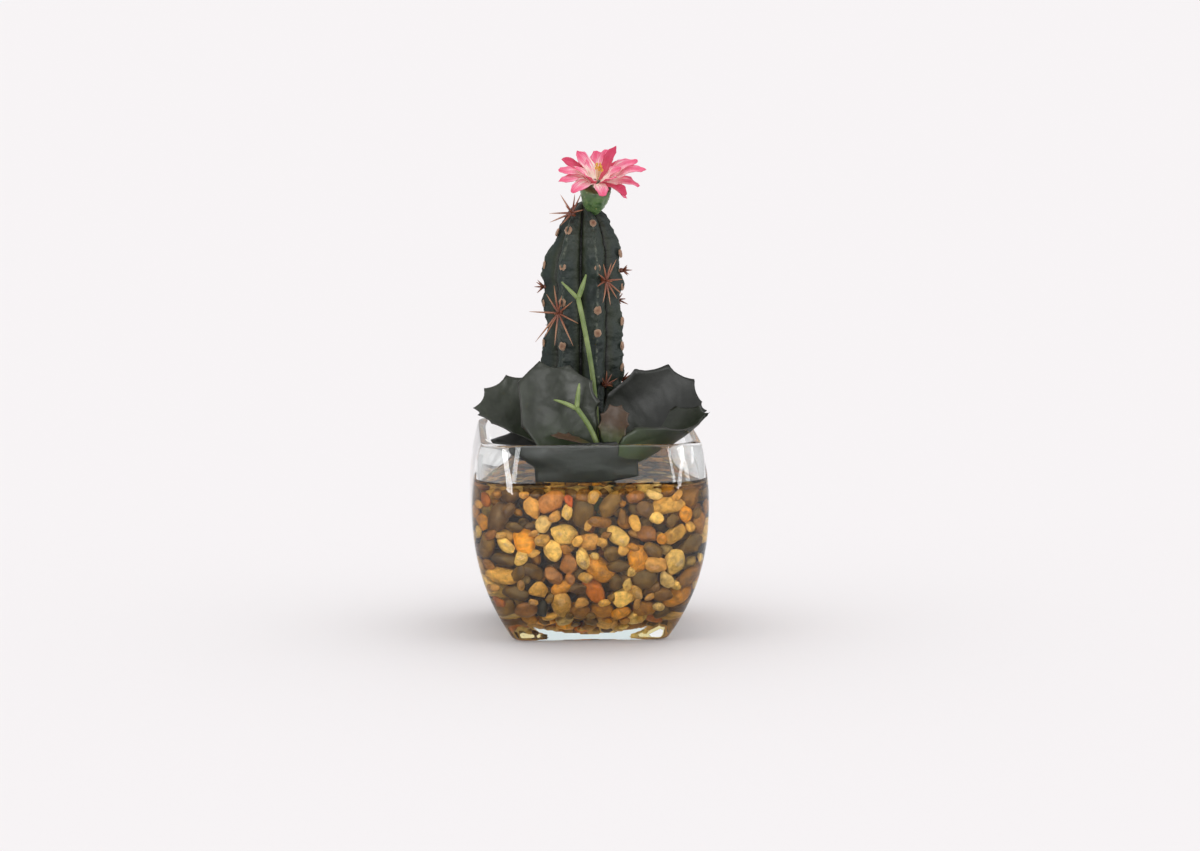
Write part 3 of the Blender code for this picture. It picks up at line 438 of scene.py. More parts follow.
def stone_form(name, detail, angular, draw):
    """One master stone, a unit across its half width, rounded or with a few flat faces."""
    only(vase)
    bpy.ops.mesh.primitive_ico_sphere_add(subdivisions=detail, radius=1)
    form = bpy.context.object
    form.name = name
    offset = Vector((draw.uniform(-9, 9), draw.uniform(-9, 9), draw.uniform(-9, 9)))
    points = []
    for vertex in form.data.vertices:
        broad = noise.noise(vertex.co * 1.1 + offset)
        close = noise.noise(vertex.co * 2.6 + offset)
        points.append(vertex.co * (1 + 0.2 * broad + 0.09 * close))
    for _ in range(angular):
        direction = any_direction(draw)
        points = cut_flat(points, direction, draw.uniform(0.62, 0.82))
    for vertex, point in zip(form.data.vertices, points):
        vertex.co = point
    bpy.ops.object.shade_smooth()
    return form


def outer_half(z):
    """Half width of the vase's outside at height z."""
    if z < BELLY_HEIGHT:
        return BELLY_HALF - FOOT_DRAW * ((BELLY_HEIGHT - z) / BELLY_HEIGHT) ** FOOT_POWER
    return BELLY_HALF - RIM_DRAW * ((z - BELLY_HEIGHT) / (VASE_HEIGHT - BELLY_HEIGHT)) ** RIM_POWER


def outer_corner(z):
    """Radius of the upright corners at height z."""
    if z < BELLY_HEIGHT:
        drop = (BELLY_HEIGHT - z) / BELLY_HEIGHT
        return (CORNER_RADIUS - CORNER_FOOT_LOSS * drop**CORNER_FOOT_POWER) * MM
    rise = (z - BELLY_HEIGHT) / (VASE_HEIGHT - BELLY_HEIGHT)
    return (CORNER_RADIUS - CORNER_RIM_LOSS * rise**CORNER_RIM_POWER) * MM


def bowl_share(rise):
    """The bowl's width, in the straight steps that the solid has."""
    rise = min(max(rise, BOWL_STEPS[0]), 1.0)
    for low, high in zip(BOWL_STEPS, BOWL_STEPS[1:]):
        if rise <= high:
            part = (rise - low) / (high - low)
            ends = [(1 - (1 - step) ** BOWL_POWER) ** (1 / BOWL_POWER) for step in (low, high)]
            return ends[0] * (1 - part) + ends[1] * part
    return 1.0


def room_at(point, inset):
    """How far a point lies inside the room for the stones: its walls, its floor and its top."""
    floor = FLOOR_TOP + inset
    half = (outer_half(point.z) - WALL - inset) * bowl_share((point.z - floor) / FLOOR_BOWL)
    corner = min(max(outer_corner(point.z) - WALL - inset, LEAST_CORNER * half), MOST_CORNER * half)
    x = max(abs(point.x) - half + corner, 0.0)
    y = max(abs(point.y) - half + corner, 0.0)
    return min(corner - math.hypot(x, y), point.z - floor, BED_TOP - point.z)


def way_out(point, inset):
    """The direction in which the side of the room is nearest."""
    slope = []
    for axis in (Vector((PROBE, 0, 0)), Vector((0, PROBE, 0)), Vector((0, 0, PROBE))):
        slope.append(room_at(point - axis, inset) - room_at(point + axis, inset))
    return Vector(slope).normalized()


def wall_spot(direction, inset):
    """Where a line from the bed's middle meets the side of its room."""
    near, far = 0.0, BED_REACH
    for _ in range(HALVINGS):
        middle = (near + far) / 2
        if room_at(BED_CENTRE + direction * middle, inset) > 0:
            near = middle
        else:
            far = middle
    return BED_CENTRE + direction * near


def stone_turn(out, draw):
    """A stone's place against the wall: flattest the way out, with its own lean, spin and shape."""
    facing = out.to_track_quat("Z", "Y").to_matrix().to_4x4()
    lean = Matrix.Rotation(draw.gauss(0, 0.25), 4, "X") @ Matrix.Rotation(draw.gauss(0, 0.25), 4, "Y")
    spin = Matrix.Rotation(draw.uniform(0, 2 * math.pi), 4, "Z")
    shape = (draw.uniform(1.0, 1.18), draw.uniform(0.8, 1.0), draw.uniform(0.56, 0.72))
    return facing @ lean @ spin @ Matrix.Diagonal((*shape, 1))


def pushed_in(centre, corners, inset):
    """The stone's centre once every corner lies in the room, or None where it won't fit."""
    for _ in range(PUSHES):
        short, corner = min((room_at(centre + c, inset), k) for k, c in enumerate(corners))
        if short > -FITS_WITHIN:
            return centre
        centre = centre + way_out(centre + corners[corner], inset) * (short - PUSH_MORE)
    return None


def clashes(spot, radius, placed, cells):
    """True where a stone of this half width would sit too deep in one that is already placed."""
    x, y, z = cell_of(spot)
    for i in (x - 1, x, x + 1):
        for j in (y - 1, y, y + 1):
            for k in (z - 1, z, z + 1):
                for other in cells.get((i, j, k), ()):
                    if (placed[other][0] - spot).length <= STONE_PACKING * (radius + placed[other][1]):
                        return True
    return False


def cell_of(spot):
    return tuple(int(part // SEARCH_CELL) for part in spot)


def scatter_stones():
    """Places the solid's large stones, then smaller ones between and behind them."""
    draw = random.Random(STONE_SEED)
    high = (1 + 5**0.5) / 2
    corners = []
    for a in (-1, 1):
        for b in (-high, high):
            corners += [Vector((0, a, b)), Vector((a, b, 0)), Vector((b, 0, a))]
    corners = [c.normalized() for c in corners]
    placed = []
    cells = {}
    for layer, depth in enumerate(LAYER_DEPTHS):
        inset = SMALL_INSET if layer else BED_INSET
        for half, tries in SMALL_STONES if layer else LARGE_STONES:
            for _ in range(tries if layer < 2 else tries * 2 // 3):
                radius = half * draw.uniform(0.9, 1.1) * MM
                direction = any_direction(draw)
                spot = wall_spot(direction, inset)
                out = way_out(spot, inset)
                turn = stone_turn(out, draw)
                start = spot - out * (STONE_START * radius + depth * MM)
                if layer and clashes(start, CROWDED * radius, placed, cells):
                    continue
                centre = pushed_in(start, [radius * (turn @ c) for c in corners], inset)
                if centre is None or clashes(centre, radius, placed, cells):
                    continue
                cells.setdefault(cell_of(centre), []).append(len(placed))
                placed.append((centre, radius, turn, out, layer))
    return placed


def stone_tints(half, layer, draw):
    """A stone's colour. Only small ones are red or black, and the deeper layers are darkened with
    painted shade.
    """
    choice = STONE_COLOURS if half < BRIGHT_STONES_BELOW else STONE_COLOURS[:-2]
    colour, spread_of_light, _ = draw.choices(choice, [share for _, _, share in choice])[0]
    # The layer's painted shade darkens the stones that lie deeper, behind the others
    light = (1 + draw.uniform(-spread_of_light, spread_of_light)) * LAYER_PAINTED_SHADE_FACTOR[layer]
    return linear(*[min(part * light * share, 255) for part, share in zip(colour, RESIN_SHARES)])


def joined(parts):
    """All the parts as one piece, the first."""
    bpy.ops.object.select_all(action="DESELECT")
    for part in parts:
        part.select_set(True)
    bpy.context.view_layer.objects.active = parts[0]
    bpy.ops.object.join()
    return parts[0]


def lay_stones(name, places, forms, draw):
    """Copies a form to every place, tints it, and joins the copies in one piece."""
    copies = []
    for centre, half, turn, out, layer in places:
        form = draw.choice(forms)
        stone = new_object(name, form.data.copy())
        if layer == 0:
            centre = centre + out * STONES_OUT
        long = draw.uniform(0.94, 1.2)
        drawn_out = Matrix.Diagonal((long, draw.uniform(0.95, 1.05) / long, 1, 1))
        stone.data.transform(Matrix.Translation(centre) @ turn @ drawn_out @ Matrix.Scale(half, 4))
        tint = stone.data.attributes.new("tint", "FLOAT_COLOR", "POINT")
        tint.data.foreach_set("color", stone_tints(half, layer, draw) * len(stone.data.vertices))
        kind = stone.data.attributes.new("kind", "FLOAT", "POINT")
        kind.data.foreach_set("value", [draw.random()] * len(stone.data.vertices))
        copies.append(stone)
    return joined(copies)


BLACK = (0, 0, 0, 1)
WHITE = (1, 1, 1, 1)
stone_finish, tree, shader = finish_named("river_stone", Roughness=0.5, Specular_IOR_Level=0.25)
tint = add(tree, "Attribute", attribute_name="tint").outputs["Color"]
kind = own_value(tree, "kind")
shifted = add(tree, "VectorMath", {0: own_place(tree), 1: kind}, operation="ADD").outputs[0]
mottle = noise_in(tree, shifted, 420, 6, Roughness=0.62)
painted = scaled(tree, tint, spread(tree, mottle, 0.3, 0.75, 0.5, 1.42))
vein = noise_in(tree, shifted, 190, 3, Distortion=1.4)
thread = shades(tree, vein, (0.47, BLACK), (0.5, WHITE), (0.53, BLACK))
vein_share = maths(tree, "MULTIPLY", maths(tree, "MULTIPLY", thread, kind), 0.55)
paint(tree, shader, blended(tree, vein_share, painted, linear(92, 58, 30)))
emboss(tree, shader, mottle, 0.35, 0.4)

# How many flat faces each master stone has
FINE_FLATS = (0, 0, 1, 3, 4, 5, 6, 8)
PLAIN_FLATS = (0, 2, 4)


def seen_from_front(stone):
    """True for a stone that faces the front or a side."""
    out = stone[3]
    return out.y < -0.2 or out.x**2 > 0.5


draw = random.Random(STONE_SEED)
fine_forms = [stone_form(f"form_{k}", 3, flats, draw) for k, flats in enumerate(FINE_FLATS)]
plain_forms = [stone_form(f"plain_form_{k}", 2, flats, draw) for k, flats in enumerate(PLAIN_FLATS)]
stones = scatter_stones()
front_stones = [s for s in stones if s[4] < 2 and seen_from_front(s)]
other_stones = [s for s in stones if s[4] < 2 and not seen_from_front(s)]
inner_stones = [s for s in stones if s[4] > 1]
pebbles = lay_stones("pebbles_outer", front_stones, fine_forms, draw)
hand_over(pebbles, "river_stone", "pebble_bed", finish=stone_finish)
for name, places in (("pebbles_back", other_stones), ("pebbles_inner", inner_stones)):
    more = lay_stones(name, places, plain_forms, draw)
    hand_over(more, "river_stone", finish=stone_finish)
for form in fine_forms + plain_forms:
    bpy.data.objects.remove(form)

# Cactus column
# One moulded column, dark green with seven ribs. Its skin is creased and warty, and the paint is
# worn to a pale line along the crests. A plug under it stands in the resin.

CACTUS_X = -1 * MM
CACTUS_Y = 6 * MM
CACTUS_TOP = 178 * MM
CACTUS_SHOULDER = 146 * MM
CACTUS_RADIUS = 16 * MM
CACTUS_PLUG_RADIUS = 11.5 * MM
CACTUS_BOTTOM = 44 * MM
RIBS = 7
RIB_DEPTH = 3.4 * MM
FIRST_RIB_ANGLE = math.radians(17)
COLUMN_STEPS = (280, 330)
# The left shoulder is a little flat, over this turn and this height
LEAN_ANGLE = math.radians(80)
LEAN_HEIGHT = 166 * MM
LEAN_DEPTH = 2.6 * MM
LEAN_TURN = 0.7
LEAN_RISE = 8 * MM
# The wart under a wool pad: its height, and how far round and up it goes
WART_HEIGHT = 0.7 * MM
WART_TURN = 0.25
WART_RISE = 4.5 * MM

# Heights in mm of the wool pads up each rib crest. The first three ribs face the front.
PAD_HEIGHTS = (
    (105, 124.5, 134, 151.5, 169.5),
    (109, 118, 128.5, 143, 156.5),
    (98, 113, 130, 147, 163),
    (104, 121, 138, 155),
    (96, 112, 129, 146, 162),
    (101, 119, 136, 151.5, 165),
    (103, 119, 137, 152, 166.5),
)


def smooth_share(value):
    value = min(max(value, 0.0), 1.0)
    return value * value * (3 - 2 * value)


def cactus_radius(z):
    """Radius of the column at its rib crests."""
    if z > CACTUS_SHOULDER:
        share = min((z - CACTUS_SHOULDER) / (CACTUS_TOP - CACTUS_SHOULDER), 1.0)
        return CACTUS_RADIUS * max(1 - share**2.2, 0.0) ** 0.6
    foot = smooth_share((z - WATER_LEVEL - MM) / (22 * MM))
    return CACTUS_PLUG_RADIUS + (CACTUS_RADIUS - CACTUS_PLUG_RADIUS) * foot


def rib_depth(z):
    rise = smooth_share((z - WATER_LEVEL - 2 * MM) / (18 * MM))
    return RIB_DEPTH * rise * min(cactus_radius(z) / CACTUS_RADIUS, 1.0)


def crest_angle(rib):
    return FIRST_RIB_ANGLE + 2 * math.pi * rib / RIBS


def from_crest(angle):
    """0 on a rib's crest, 1 in a groove."""
    share = ((angle - FIRST_RIB_ANGLE) * RIBS / (2 * math.pi)) % 1.0
    return 2 * min(share, 1 - share)


def pad_swell(angle, z):
    """The wart under each wool pad, which makes the crest wavy."""
    swell = 0.0
    for rib, heights in enumerate(PAD_HEIGHTS):
        turn = (angle - crest_angle(rib) + math.pi) % (2 * math.pi) - math.pi
        if abs(turn) > WART_TURN:
            continue
        side = 1 - (turn / WART_TURN) ** 2
        for height in heights:
            near = (z - height * MM) / WART_RISE
            swell = max(swell, WART_HEIGHT * side * math.exp(-near * near))
    return swell


def on_cactus(angle, z, out=0.0):
    """A point of the column: angle 0 faces the front, and positive turns to the right."""
    radius = cactus_radius(z) - rib_depth(z) * from_crest(angle) ** 1.5 + pad_swell(angle, z) + out
    turn = (angle + LEAN_ANGLE + math.pi) % (2 * math.pi) - math.pi
    radius -= LEAN_DEPTH * math.exp(-((turn / LEAN_TURN) ** 2) - ((z - LEAN_HEIGHT) / LEAN_RISE) ** 2)
    return Vector((CACTUS_X + radius * math.sin(angle), CACTUS_Y - radius * math.cos(angle), z))


def outward(angle, z):
    """The way out of the column's skin, ribs left aside."""
    step = 0.5 * MM
    slope = (cactus_radius(z + step) - cactus_radius(z - step)) / (2 * step)
    return Vector((math.sin(angle), -math.cos(angle), -slope)).normalized()


def skin_relief(angle, z):
    """Creases across the ribs and a fine unevenness, none of it in the resin."""
    point = Vector((math.sin(angle) * 16, math.cos(angle) * 16, z / MM))
    across = noise.noise(Vector((point.x * 0.10, point.y * 0.10, point.z * 0.42)))
    crease = -max(0.0, 0.35 - abs(across)) / 0.35
    lumps = noise.noise(point * 0.32)
    humps = noise.noise(point * 0.16 + Vector((4, 9, 2)))
    warts = max(noise.noise(point * 0.55 + Vector((7, 3, 1))), -0.1)
    grain = noise.noise(point * 1.3)
    side = from_crest(angle)
    near_crest = max(1 - side / 0.45, 0.0)
    fold = 0.55 * max(1 - side / 0.16, 0.0) - 0.8 * max((side - 0.8) / 0.2, 0.0)
    rough = 0.12 * crease + 0.45 * lumps + (0.9 + 1.1 * near_crest) * humps
    rough += (0.2 + 0.5 * near_crest) * warts
    rough += 0.16 * grain
    above = smooth_share((z - WATER_LEVEL) / (8 * MM)) * smooth_share((CACTUS_TOP - z) / (6 * MM))
    return above * (rough + fold) * MM


def carriers(piece, name):
    """Each vertex with its place in a new set of values that the mesh carries."""
    return zip(piece.data.vertices, piece.data.attributes.new(name, "FLOAT", "POINT").data)


def close_and_smooth(merge, fill=False):
    """Merges the active mesh's doubles, fills its ends, and turns its faces outwards."""
    bpy.ops.object.mode_set(mode="EDIT")
    bpy.ops.mesh.select_all(action="SELECT")
    bpy.ops.mesh.remove_doubles(threshold=merge)
    if fill:
        bpy.ops.mesh.fill_holes(sides=0)
    bpy.ops.mesh.normals_make_consistent(inside=False)
    bpy.ops.object.mode_set(mode="OBJECT")
    bpy.ops.object.shade_smooth()


only(vase)
across, up_steps = COLUMN_STEPS
bpy.ops.mesh.primitive_grid_add(x_subdivisions=across, y_subdivisions=up_steps, size=2)
column = bpy.context.object
column.name = "cactus_body"
for vertex, value in carriers(column, "groove"):
    angle = (vertex.co.x + 1) * math.pi
    up = (vertex.co.y + 1) / 2
    z = CACTUS_BOTTOM + (CACTUS_TOP - CACTUS_BOTTOM) * (1 - (1 - up) ** 1.25)
    value.value = from_crest(angle)
    vertex.co = on_cactus(angle, z, skin_relief(angle, z))
close_and_smooth(0.005 * MM, fill=True)

skin, tree, shader = finish_named("cactus_skin", Roughness=0.55, Specular_IOR_Level=0.35)
groove = own_value(tree, "groove")
blotch = noise_in(tree, own_place(tree), 95, 5, Roughness=0.6)
stretched = add(tree, "Mapping", {"Vector": own_place(tree), "Scale": (1.0, 1.0, 1.5)}).outputs[0]
wrinkle = noise_in(tree, stretched, 260, 7, Distortion=0.8)
dark = shades(
    tree, blotch, (0.3, linear(24, 34, 32)), (0.45, linear(30, 46, 40)), (0.72, linear(50, 60, 46))
)
green = blended(tree, spread(tree, groove, 0.5, 0.8), dark, linear(38, 48, 24))
# Painted shade: the bottoms of the grooves are darkened nearly to black
groove_painted_shade = blended(tree, spread(tree, groove, 0.82, 0.95), green, linear(10, 12, 10))
crest = spread(tree, groove, 0.1, 0.02)
rubbed = spread(tree, wrinkle, 0.46, 0.62)
worn = maths(tree, "MULTIPLY", maths(tree, "MULTIPLY", crest, rubbed), 0.75)
paint(tree, shader, blended(tree, worn, groove_painted_shade, linear(112, 120, 104)))
emboss(tree, shader, wrinkle, 0.6, 0.6)
hand_over(column, "cactus_skin", "cactus_column", finish=skin)

# Wool pads
# Small tan tufts pressed into the rib crests, each a ring with a sunk brown middle.

PAD_RADIUS = 1.62 * MM
PAD_LIFT = 0.15
# Against its radius: how flat a pad is, how long, and how wide its sunk middle is
PAD_FLATNESS = 0.42
PAD_LENGTH = 1.12
PAD_MIDDLE = 0.62
PAD_SEED = 3


def make_pad(name, spot, normal, radius, draw):
    bpy.ops.object.select_all(action="DESELECT")
    bpy.ops.mesh.primitive_uv_sphere_add(segments=14, ring_count=8, radius=1)
    pad = bpy.context.object
    pad.name = name
    offset = spot / MM
    for vertex, value in carriers(pad, "rim"):
        flat = math.hypot(vertex.co.x, vertex.co.y)
        value.value = flat if vertex.co.z > 0 else 1.0
        sink = 0.5 * max(0.0, 1 - flat / PAD_MIDDLE) if vertex.co.z > 0 else 0.0
        swell = 1 + 0.32 * noise.noise(vertex.co * 1.5 + offset)
        low = (vertex.co.z - sink) * PAD_FLATNESS
        vertex.co = Vector((vertex.co.x * swell, vertex.co.y * swell * PAD_LENGTH, low))
    turn = normal.to_track_quat("Z", "Y").to_matrix().to_4x4()
    spin = Matrix.Rotation(draw.uniform(-0.4, 0.4), 4, "Z")
    pad.data.transform(Matrix.Translation(spot) @ turn @ spin @ Matrix.Scale(radius, 4))
    return pad


draw = random.Random(PAD_SEED)
pads = []
for rib, heights in enumerate(PAD_HEIGHTS):
    for height in heights:
        angle = crest_angle(rib)
        normal = outward(angle, height * MM)
        spot = on_cactus(angle, height * MM) + normal * PAD_LIFT * MM
        radius = PAD_RADIUS * draw.uniform(0.85, 1.08)
        pads.append(make_pad(f"pad_{rib}_{height}", spot, normal, radius, draw))
pads = joined(pads)
pads.name = "cactus_pads"
bpy.ops.object.shade_smooth()

wool, tree, shader = finish_named("pad_wool", Roughness=0.85, Sheen_Weight=0.3, Sheen_Roughness=0.5)
tuft = noise_in(tree, own_place(tree), 900, 4)
sunk = spread(tree, maths(tree, "ADD", own_value(tree, "rim"), tuft), 0.5, 1.5)
paint(tree, shader, shades(tree, sunk, (0, linear(126, 78, 48)), (1, linear(182, 146, 116))))
emboss(tree, shader, tuft, 0.6, 0.3)
hand_over(pads, "spine_brown", finish=wool)

# Spines
# Stars of hard brown needles, red brown at the root and paler to the tip. Each star is moulded on
# a small hub whose peg is pushed into the column.

UP = Vector((0, 0, 1))
NEEDLE_RADIUS = 0.42 * MM
HUB_RADIUS = 1.15 * MM
# Share of the way from foot to hub, and width, of the peg that carries a star
PEG = ((0, 0.8), (0.4, 0.85), (0.9, 1.0), (1.1, 0.6))
# Share of the way to the tip, and width, of a needle
NEEDLE_TAPER = ((0.0, 0.8), (0.12, 1.0), (0.4, 0.9), (0.72, 0.62), (0.92, 0.3), (1.0, 0.1))
SIDE_NEEDLES = 7
# In mm, how far behind the hub's middle the needles start, and how deep in the skin its peg
NEEDLE_ROOT = 0.3
PEG_DEPTH = 0.4
# Distance from the hub at which a needle has its tip's colour
NEEDLE_FADE = 11 * MM

# Tips in mm, right and up from the hub, of the four stars that the front shows
FRONT_LEFT_TIPS = (
    (-12.1, 0.4), (-5.0, 7.9), (-1.9, 11.7), (1.3, 7.5), (5.6, 5.2), (8.0, -3.8),
    (5.8, -13.0), (-1.7, -13.3), (-9.6, -12.1), (-5.8, -10.0),
)
FRONT_RIGHT_TIPS = (
    (-1.3, 7.1), (2.1, 7.4), (4.2, 8.8), (7.1, 0.4), (6.7, -5.8), (4.6, -7.6),
    (1.7, -10.0), (-1.5, -8.8), (-3.8, -2.1), (-3.4, 3.2),
)
SHOULDER_TIPS = (
    (-4.4, 6.9), (1.3, 7.4), (3.9, 8.0), (-9.2, -0.6), (-9.2, -4.0), (-5.0, -5.0), (4.4, 1.6),
)
BASE_TIPS = ((-1.6, 3.4), (0.2, 6.2), (2.4, 4.6), (4.8, 2.6), (3.2, 0.4))

# Name, angle round the column, height and peg length in mm of the hub, way it faces, tips
CLUSTERS = (
    ("spines_front_left", -38, 132.8, 2.0, -24, FRONT_LEFT_TIPS),
    ("spines_front_right", 27, 146.3, 3.2, 28, FRONT_RIGHT_TIPS),
    ("spines_shoulder", -34, 172.6, 1.6, -47, SHOULDER_TIPS),
    ("spines_left", -86, 142.5, 0.7, -86, None),
    ("spines_right_upper", 72, 149.5, 0.9, 74, None),
    ("spines_right_lower", 72, 104, 0.9, 74, None),
    ("spines_base", 28, 103, 2.6, 30, BASE_TIPS),
    ("spines_back_right", 120, 136, 0.7, 120, None),
    ("spines_back", 171.3, 158, 0.7, 171.3, None),
    ("spines_back_left", 222.7, 124.5, 0.7, 222.7, None),
)


def strands(name, routes, sides=8):
    """Round tapered strands in one mesh. A route is a list of (point, radius)."""
    data = bpy.data.curves.new(name, "CURVE")
    data.dimensions = "3D"
    data.bevel_depth = 1.0
    data.bevel_resolution = max(sides // 2 - 2, 1)
    data.use_fill_caps = True
    data.resolution_u = 4
    for route in routes:
        spline = data.splines.new("NURBS")
        spline.points.add(len(route) - 1)
        spline.order_u = min(4, len(route))
        spline.use_endpoint_u = True
        for point, (spot, radius) in zip(spline.points, route):
            point.co = (*spot, 1)
            point.radius = radius
    only(new_object(name, data))
    bpy.ops.object.convert(target="MESH")
    piece = bpy.context.object
    close_and_smooth(0.002 * MM)
    return piece


def needle_route(hub, direction, bow):
    """A stiff needle that thins to a point and bows a little to one side."""
    side = direction.cross(UP)
    side = side.normalized() if side.length > 1e-9 else Vector((1, 0, 0))
    start = hub - direction.normalized() * NEEDLE_ROOT * MM
    thick = NEEDLE_RADIUS * 1.05
    route = []
    for share, wide in NEEDLE_TAPER:
        offset = side * bow * math.sin(math.pi * share)
        route.append((start.lerp(hub + direction, share) + offset, thick * wide))
    return route


def needle_directions(angle, height, facing, tips):
    """The needles of a star, from its hub to each tip."""
    normal = outward(facing, height * MM)
    if tips:
        found = []
        for right, up in tips:
            lift = 0.17 * math.hypot(right, up) * MM + 0.4 * MM
            depth = (lift - normal.x * right * MM - normal.z * up * MM) / normal.y
            found.append(Vector((right * MM, depth, up * MM)))
        return found + [normal * 5 * MM]
    draw = random.Random(height * 10 + round(math.degrees(angle)))
    side = Vector((math.cos(facing), math.sin(facing), 0))
    rise = side.cross(-normal).normalized()
    found = []
    for k in range(SIDE_NEEDLES):
        turn = 2 * math.pi * (k + draw.uniform(-0.3, 0.3)) / SIDE_NEEDLES
        flat = side * math.cos(turn) + rise * math.sin(turn)
        length = draw.uniform(2.2, 4.0) * MM
        found.append((flat * 0.9 + normal * draw.uniform(0.6, 0.9)) * length)
    return found + [normal * 4 * MM]


spine, tree, shader = finish_named("spine_brown", Roughness=0.45)
grain = noise_in(tree, own_place(tree), 700, 3)
along = maths(tree, "ADD", own_value(tree, "reach"), maths(tree, "MULTIPLY", grain, 0.5))
brown = shades(
    tree,
    along,
    (0.2, linear(92, 40, 26)),
    (0.55, linear(150, 84, 54)),
    (1.15 / 1.2, linear(186, 132, 96)),
)
paint(tree, shader, brown)
emboss(tree, shader, grain, 0.4, 0.2)

for name, angle, height, peg, facing, tips in CLUSTERS:
    angle = math.radians(angle)
    facing = math.radians(facing)
    surface = on_cactus(angle, height * MM)
    hub = surface + outward(angle, height * MM) * peg * MM
    draw = random.Random(round(height))
    directions = needle_directions(angle, height, facing, tips)
    routes = [needle_route(hub, d, draw.uniform(-0.35, 0.35) * MM) for d in directions]
    foot = surface - outward(angle, height * MM) * PEG_DEPTH * MM
    routes.append([(foot.lerp(hub, share), HUB_RADIUS * wide) for share, wide in PEG])
    star = strands(f"{name}_needles", routes)
    for vertex, value in carriers(star, "reach"):
        value.value = min((vertex.co - hub).length / NEEDLE_FADE, 1.0)
    hand_over(star, "spine_brown", name, finish=spine)

# Flower cup
# The green receptacle under the petals: a fleshy bumpy cup with pale specks, seated in the crown.

FLOWER_SEAT = Vector((2.5, 3.0, 172.5)) * MM
FLOWER_TILT_FORWARD = math.radians(28)
FLOWER_TILT_RIGHT = math.radians(5)
CUP_HEIGHT = 14.5 * MM
CUP_RADIUS = 6.3 * MM
CUP_OUTLINE = (
    (0.0, 0.0), (0.02, 0.24), (0.15, 0.48), (0.35, 0.74), (0.55, 0.91), (0.78, 1.0), (0.92, 0.97)
)
# Share of the height that the round top takes over the outline
CUP_TOP = 0.08

flower_axis = (
    Matrix.Translation(FLOWER_SEAT)
    @ Matrix.Rotation(FLOWER_TILT_FORWARD, 4, "X")
    @ Matrix.Rotation(FLOWER_TILT_RIGHT, 4, "Y")
)
bpy.ops.object.select_all(action="DESELECT")
bpy.ops.mesh.primitive_uv_sphere_add(segments=64, ring_count=48, radius=1)
cup = bpy.context.object
cup.name = "flower_cup"


def cup_width(share):
    """Width at a share of the cup's height: its outline, then a round top."""
    for (low, wide), (high, wider) in zip(CUP_OUTLINE, CUP_OUTLINE[1:]):
        if share <= high:
            part = (share - low) / (high - low)
            return wide + (wider - wide) * (smooth_share(part) * 0.4 + 0.6 * part)
    top, rim = CUP_OUTLINE[-1]
    return rim * math.sqrt(max(1 - ((share - top) / CUP_TOP) ** 2, 0.0)) * 0.999


for vertex in cup.data.vertices:
    around = math.atan2(vertex.co.y, vertex.co.x)
    share = min(max((vertex.co.z + 1) / 2, 0.0), 1.0)
    wide = CUP_RADIUS * cup_width(share)
    spot = Vector((math.cos(around) * wide, math.sin(around) * wide, share * CUP_HEIGHT))
    bumps = noise.noise(spot / MM * 0.62) * 0.35 + noise.noise(spot / MM * 1.3) * 0.18
    out = Vector((math.cos(around), math.sin(around), 0))
    vertex.co = spot + out * bumps * MM * min(wide / CUP_RADIUS, 1)
cup.data.transform(flower_axis)
bpy.ops.object.shade_smooth()

cup_green, tree, shader = finish_named(
    "cup_green", Roughness=0.45, Coat_Weight=0.15, Coat_Roughness=0.3
)
place = own_place(tree)
patches = noise_in(tree, place, 330, 4)
green = shades(tree, patches, (0.3, linear(50, 86, 40)), (0.7, linear(104, 136, 78)))
cells = add(tree, "TexVoronoi", {"Vector": place, "Scale": 520.0}).outputs["Distance"]
specks = maths(tree, "MULTIPLY", spread(tree, cells, 0.24, 0.1), 0.6)
paint(tree, shader, blended(tree, specks, green, linear(180, 186, 128)))
emboss(tree, shader, patches, 0.6, 0.5)
hand_over(cup, "receptacle_green", "flower_receptacle", finish=cup_green)

# Petals
# Cut cloth petals in three loose whorls on one heart: rose pink, nearly white at the root. Like the
# leaves, each is a flat grid that is cut to its outline, cupped across and bent along its rib.

# Columns across a petal, and rows to each of its teeth
PETAL_GRID = (10, 5)
RIB_STEPS = 60
EDGE_STEPS = 400
# The rib goes on past the tip, for the teeth that stand out there
RIB_REACH = 1.1


def blade_outline(shape, rows):
    """From base to tip, evenly along the edge: (along, half width, way out of the edge)."""
    length = shape["length"]
    centre = shape["widest"] * length
    plain = []
    for i in range(EDGE_STEPS + 1):
        turn = math.pi * (1 - i / EDGE_STEPS)
        to_tip = turn < math.pi / 2
        along = centre + (length - centre if to_tip else centre) * math.cos(turn)
        half = shape["width"] / 2 * math.sin(turn) ** (shape["tip_power"] if to_tip else 0.9)
        if turn > math.pi / 2:
            half = max(half * (1 - 0.35 * (1 - along / centre) ** 1.5), shape["base_half"])
        plain.append((along, half))
    edge = [0.0]
    for (s0, h0), (s1, h1) in zip(plain, plain[1:]):
        edge.append(edge[-1] + math.hypot(s1 - s0, h1 - h0))
    found = []
    i = 0
    for k in range(rows + 1):
        while i < EDGE_STEPS and edge[i] < edge[-1] * k / rows - 1e-9:
            i += 1
        along, half = plain[i]
        away = Vector((along - centre, half))
        found.append((along, half, away.normalized() if away.length else Vector((1, 0))))
    return found


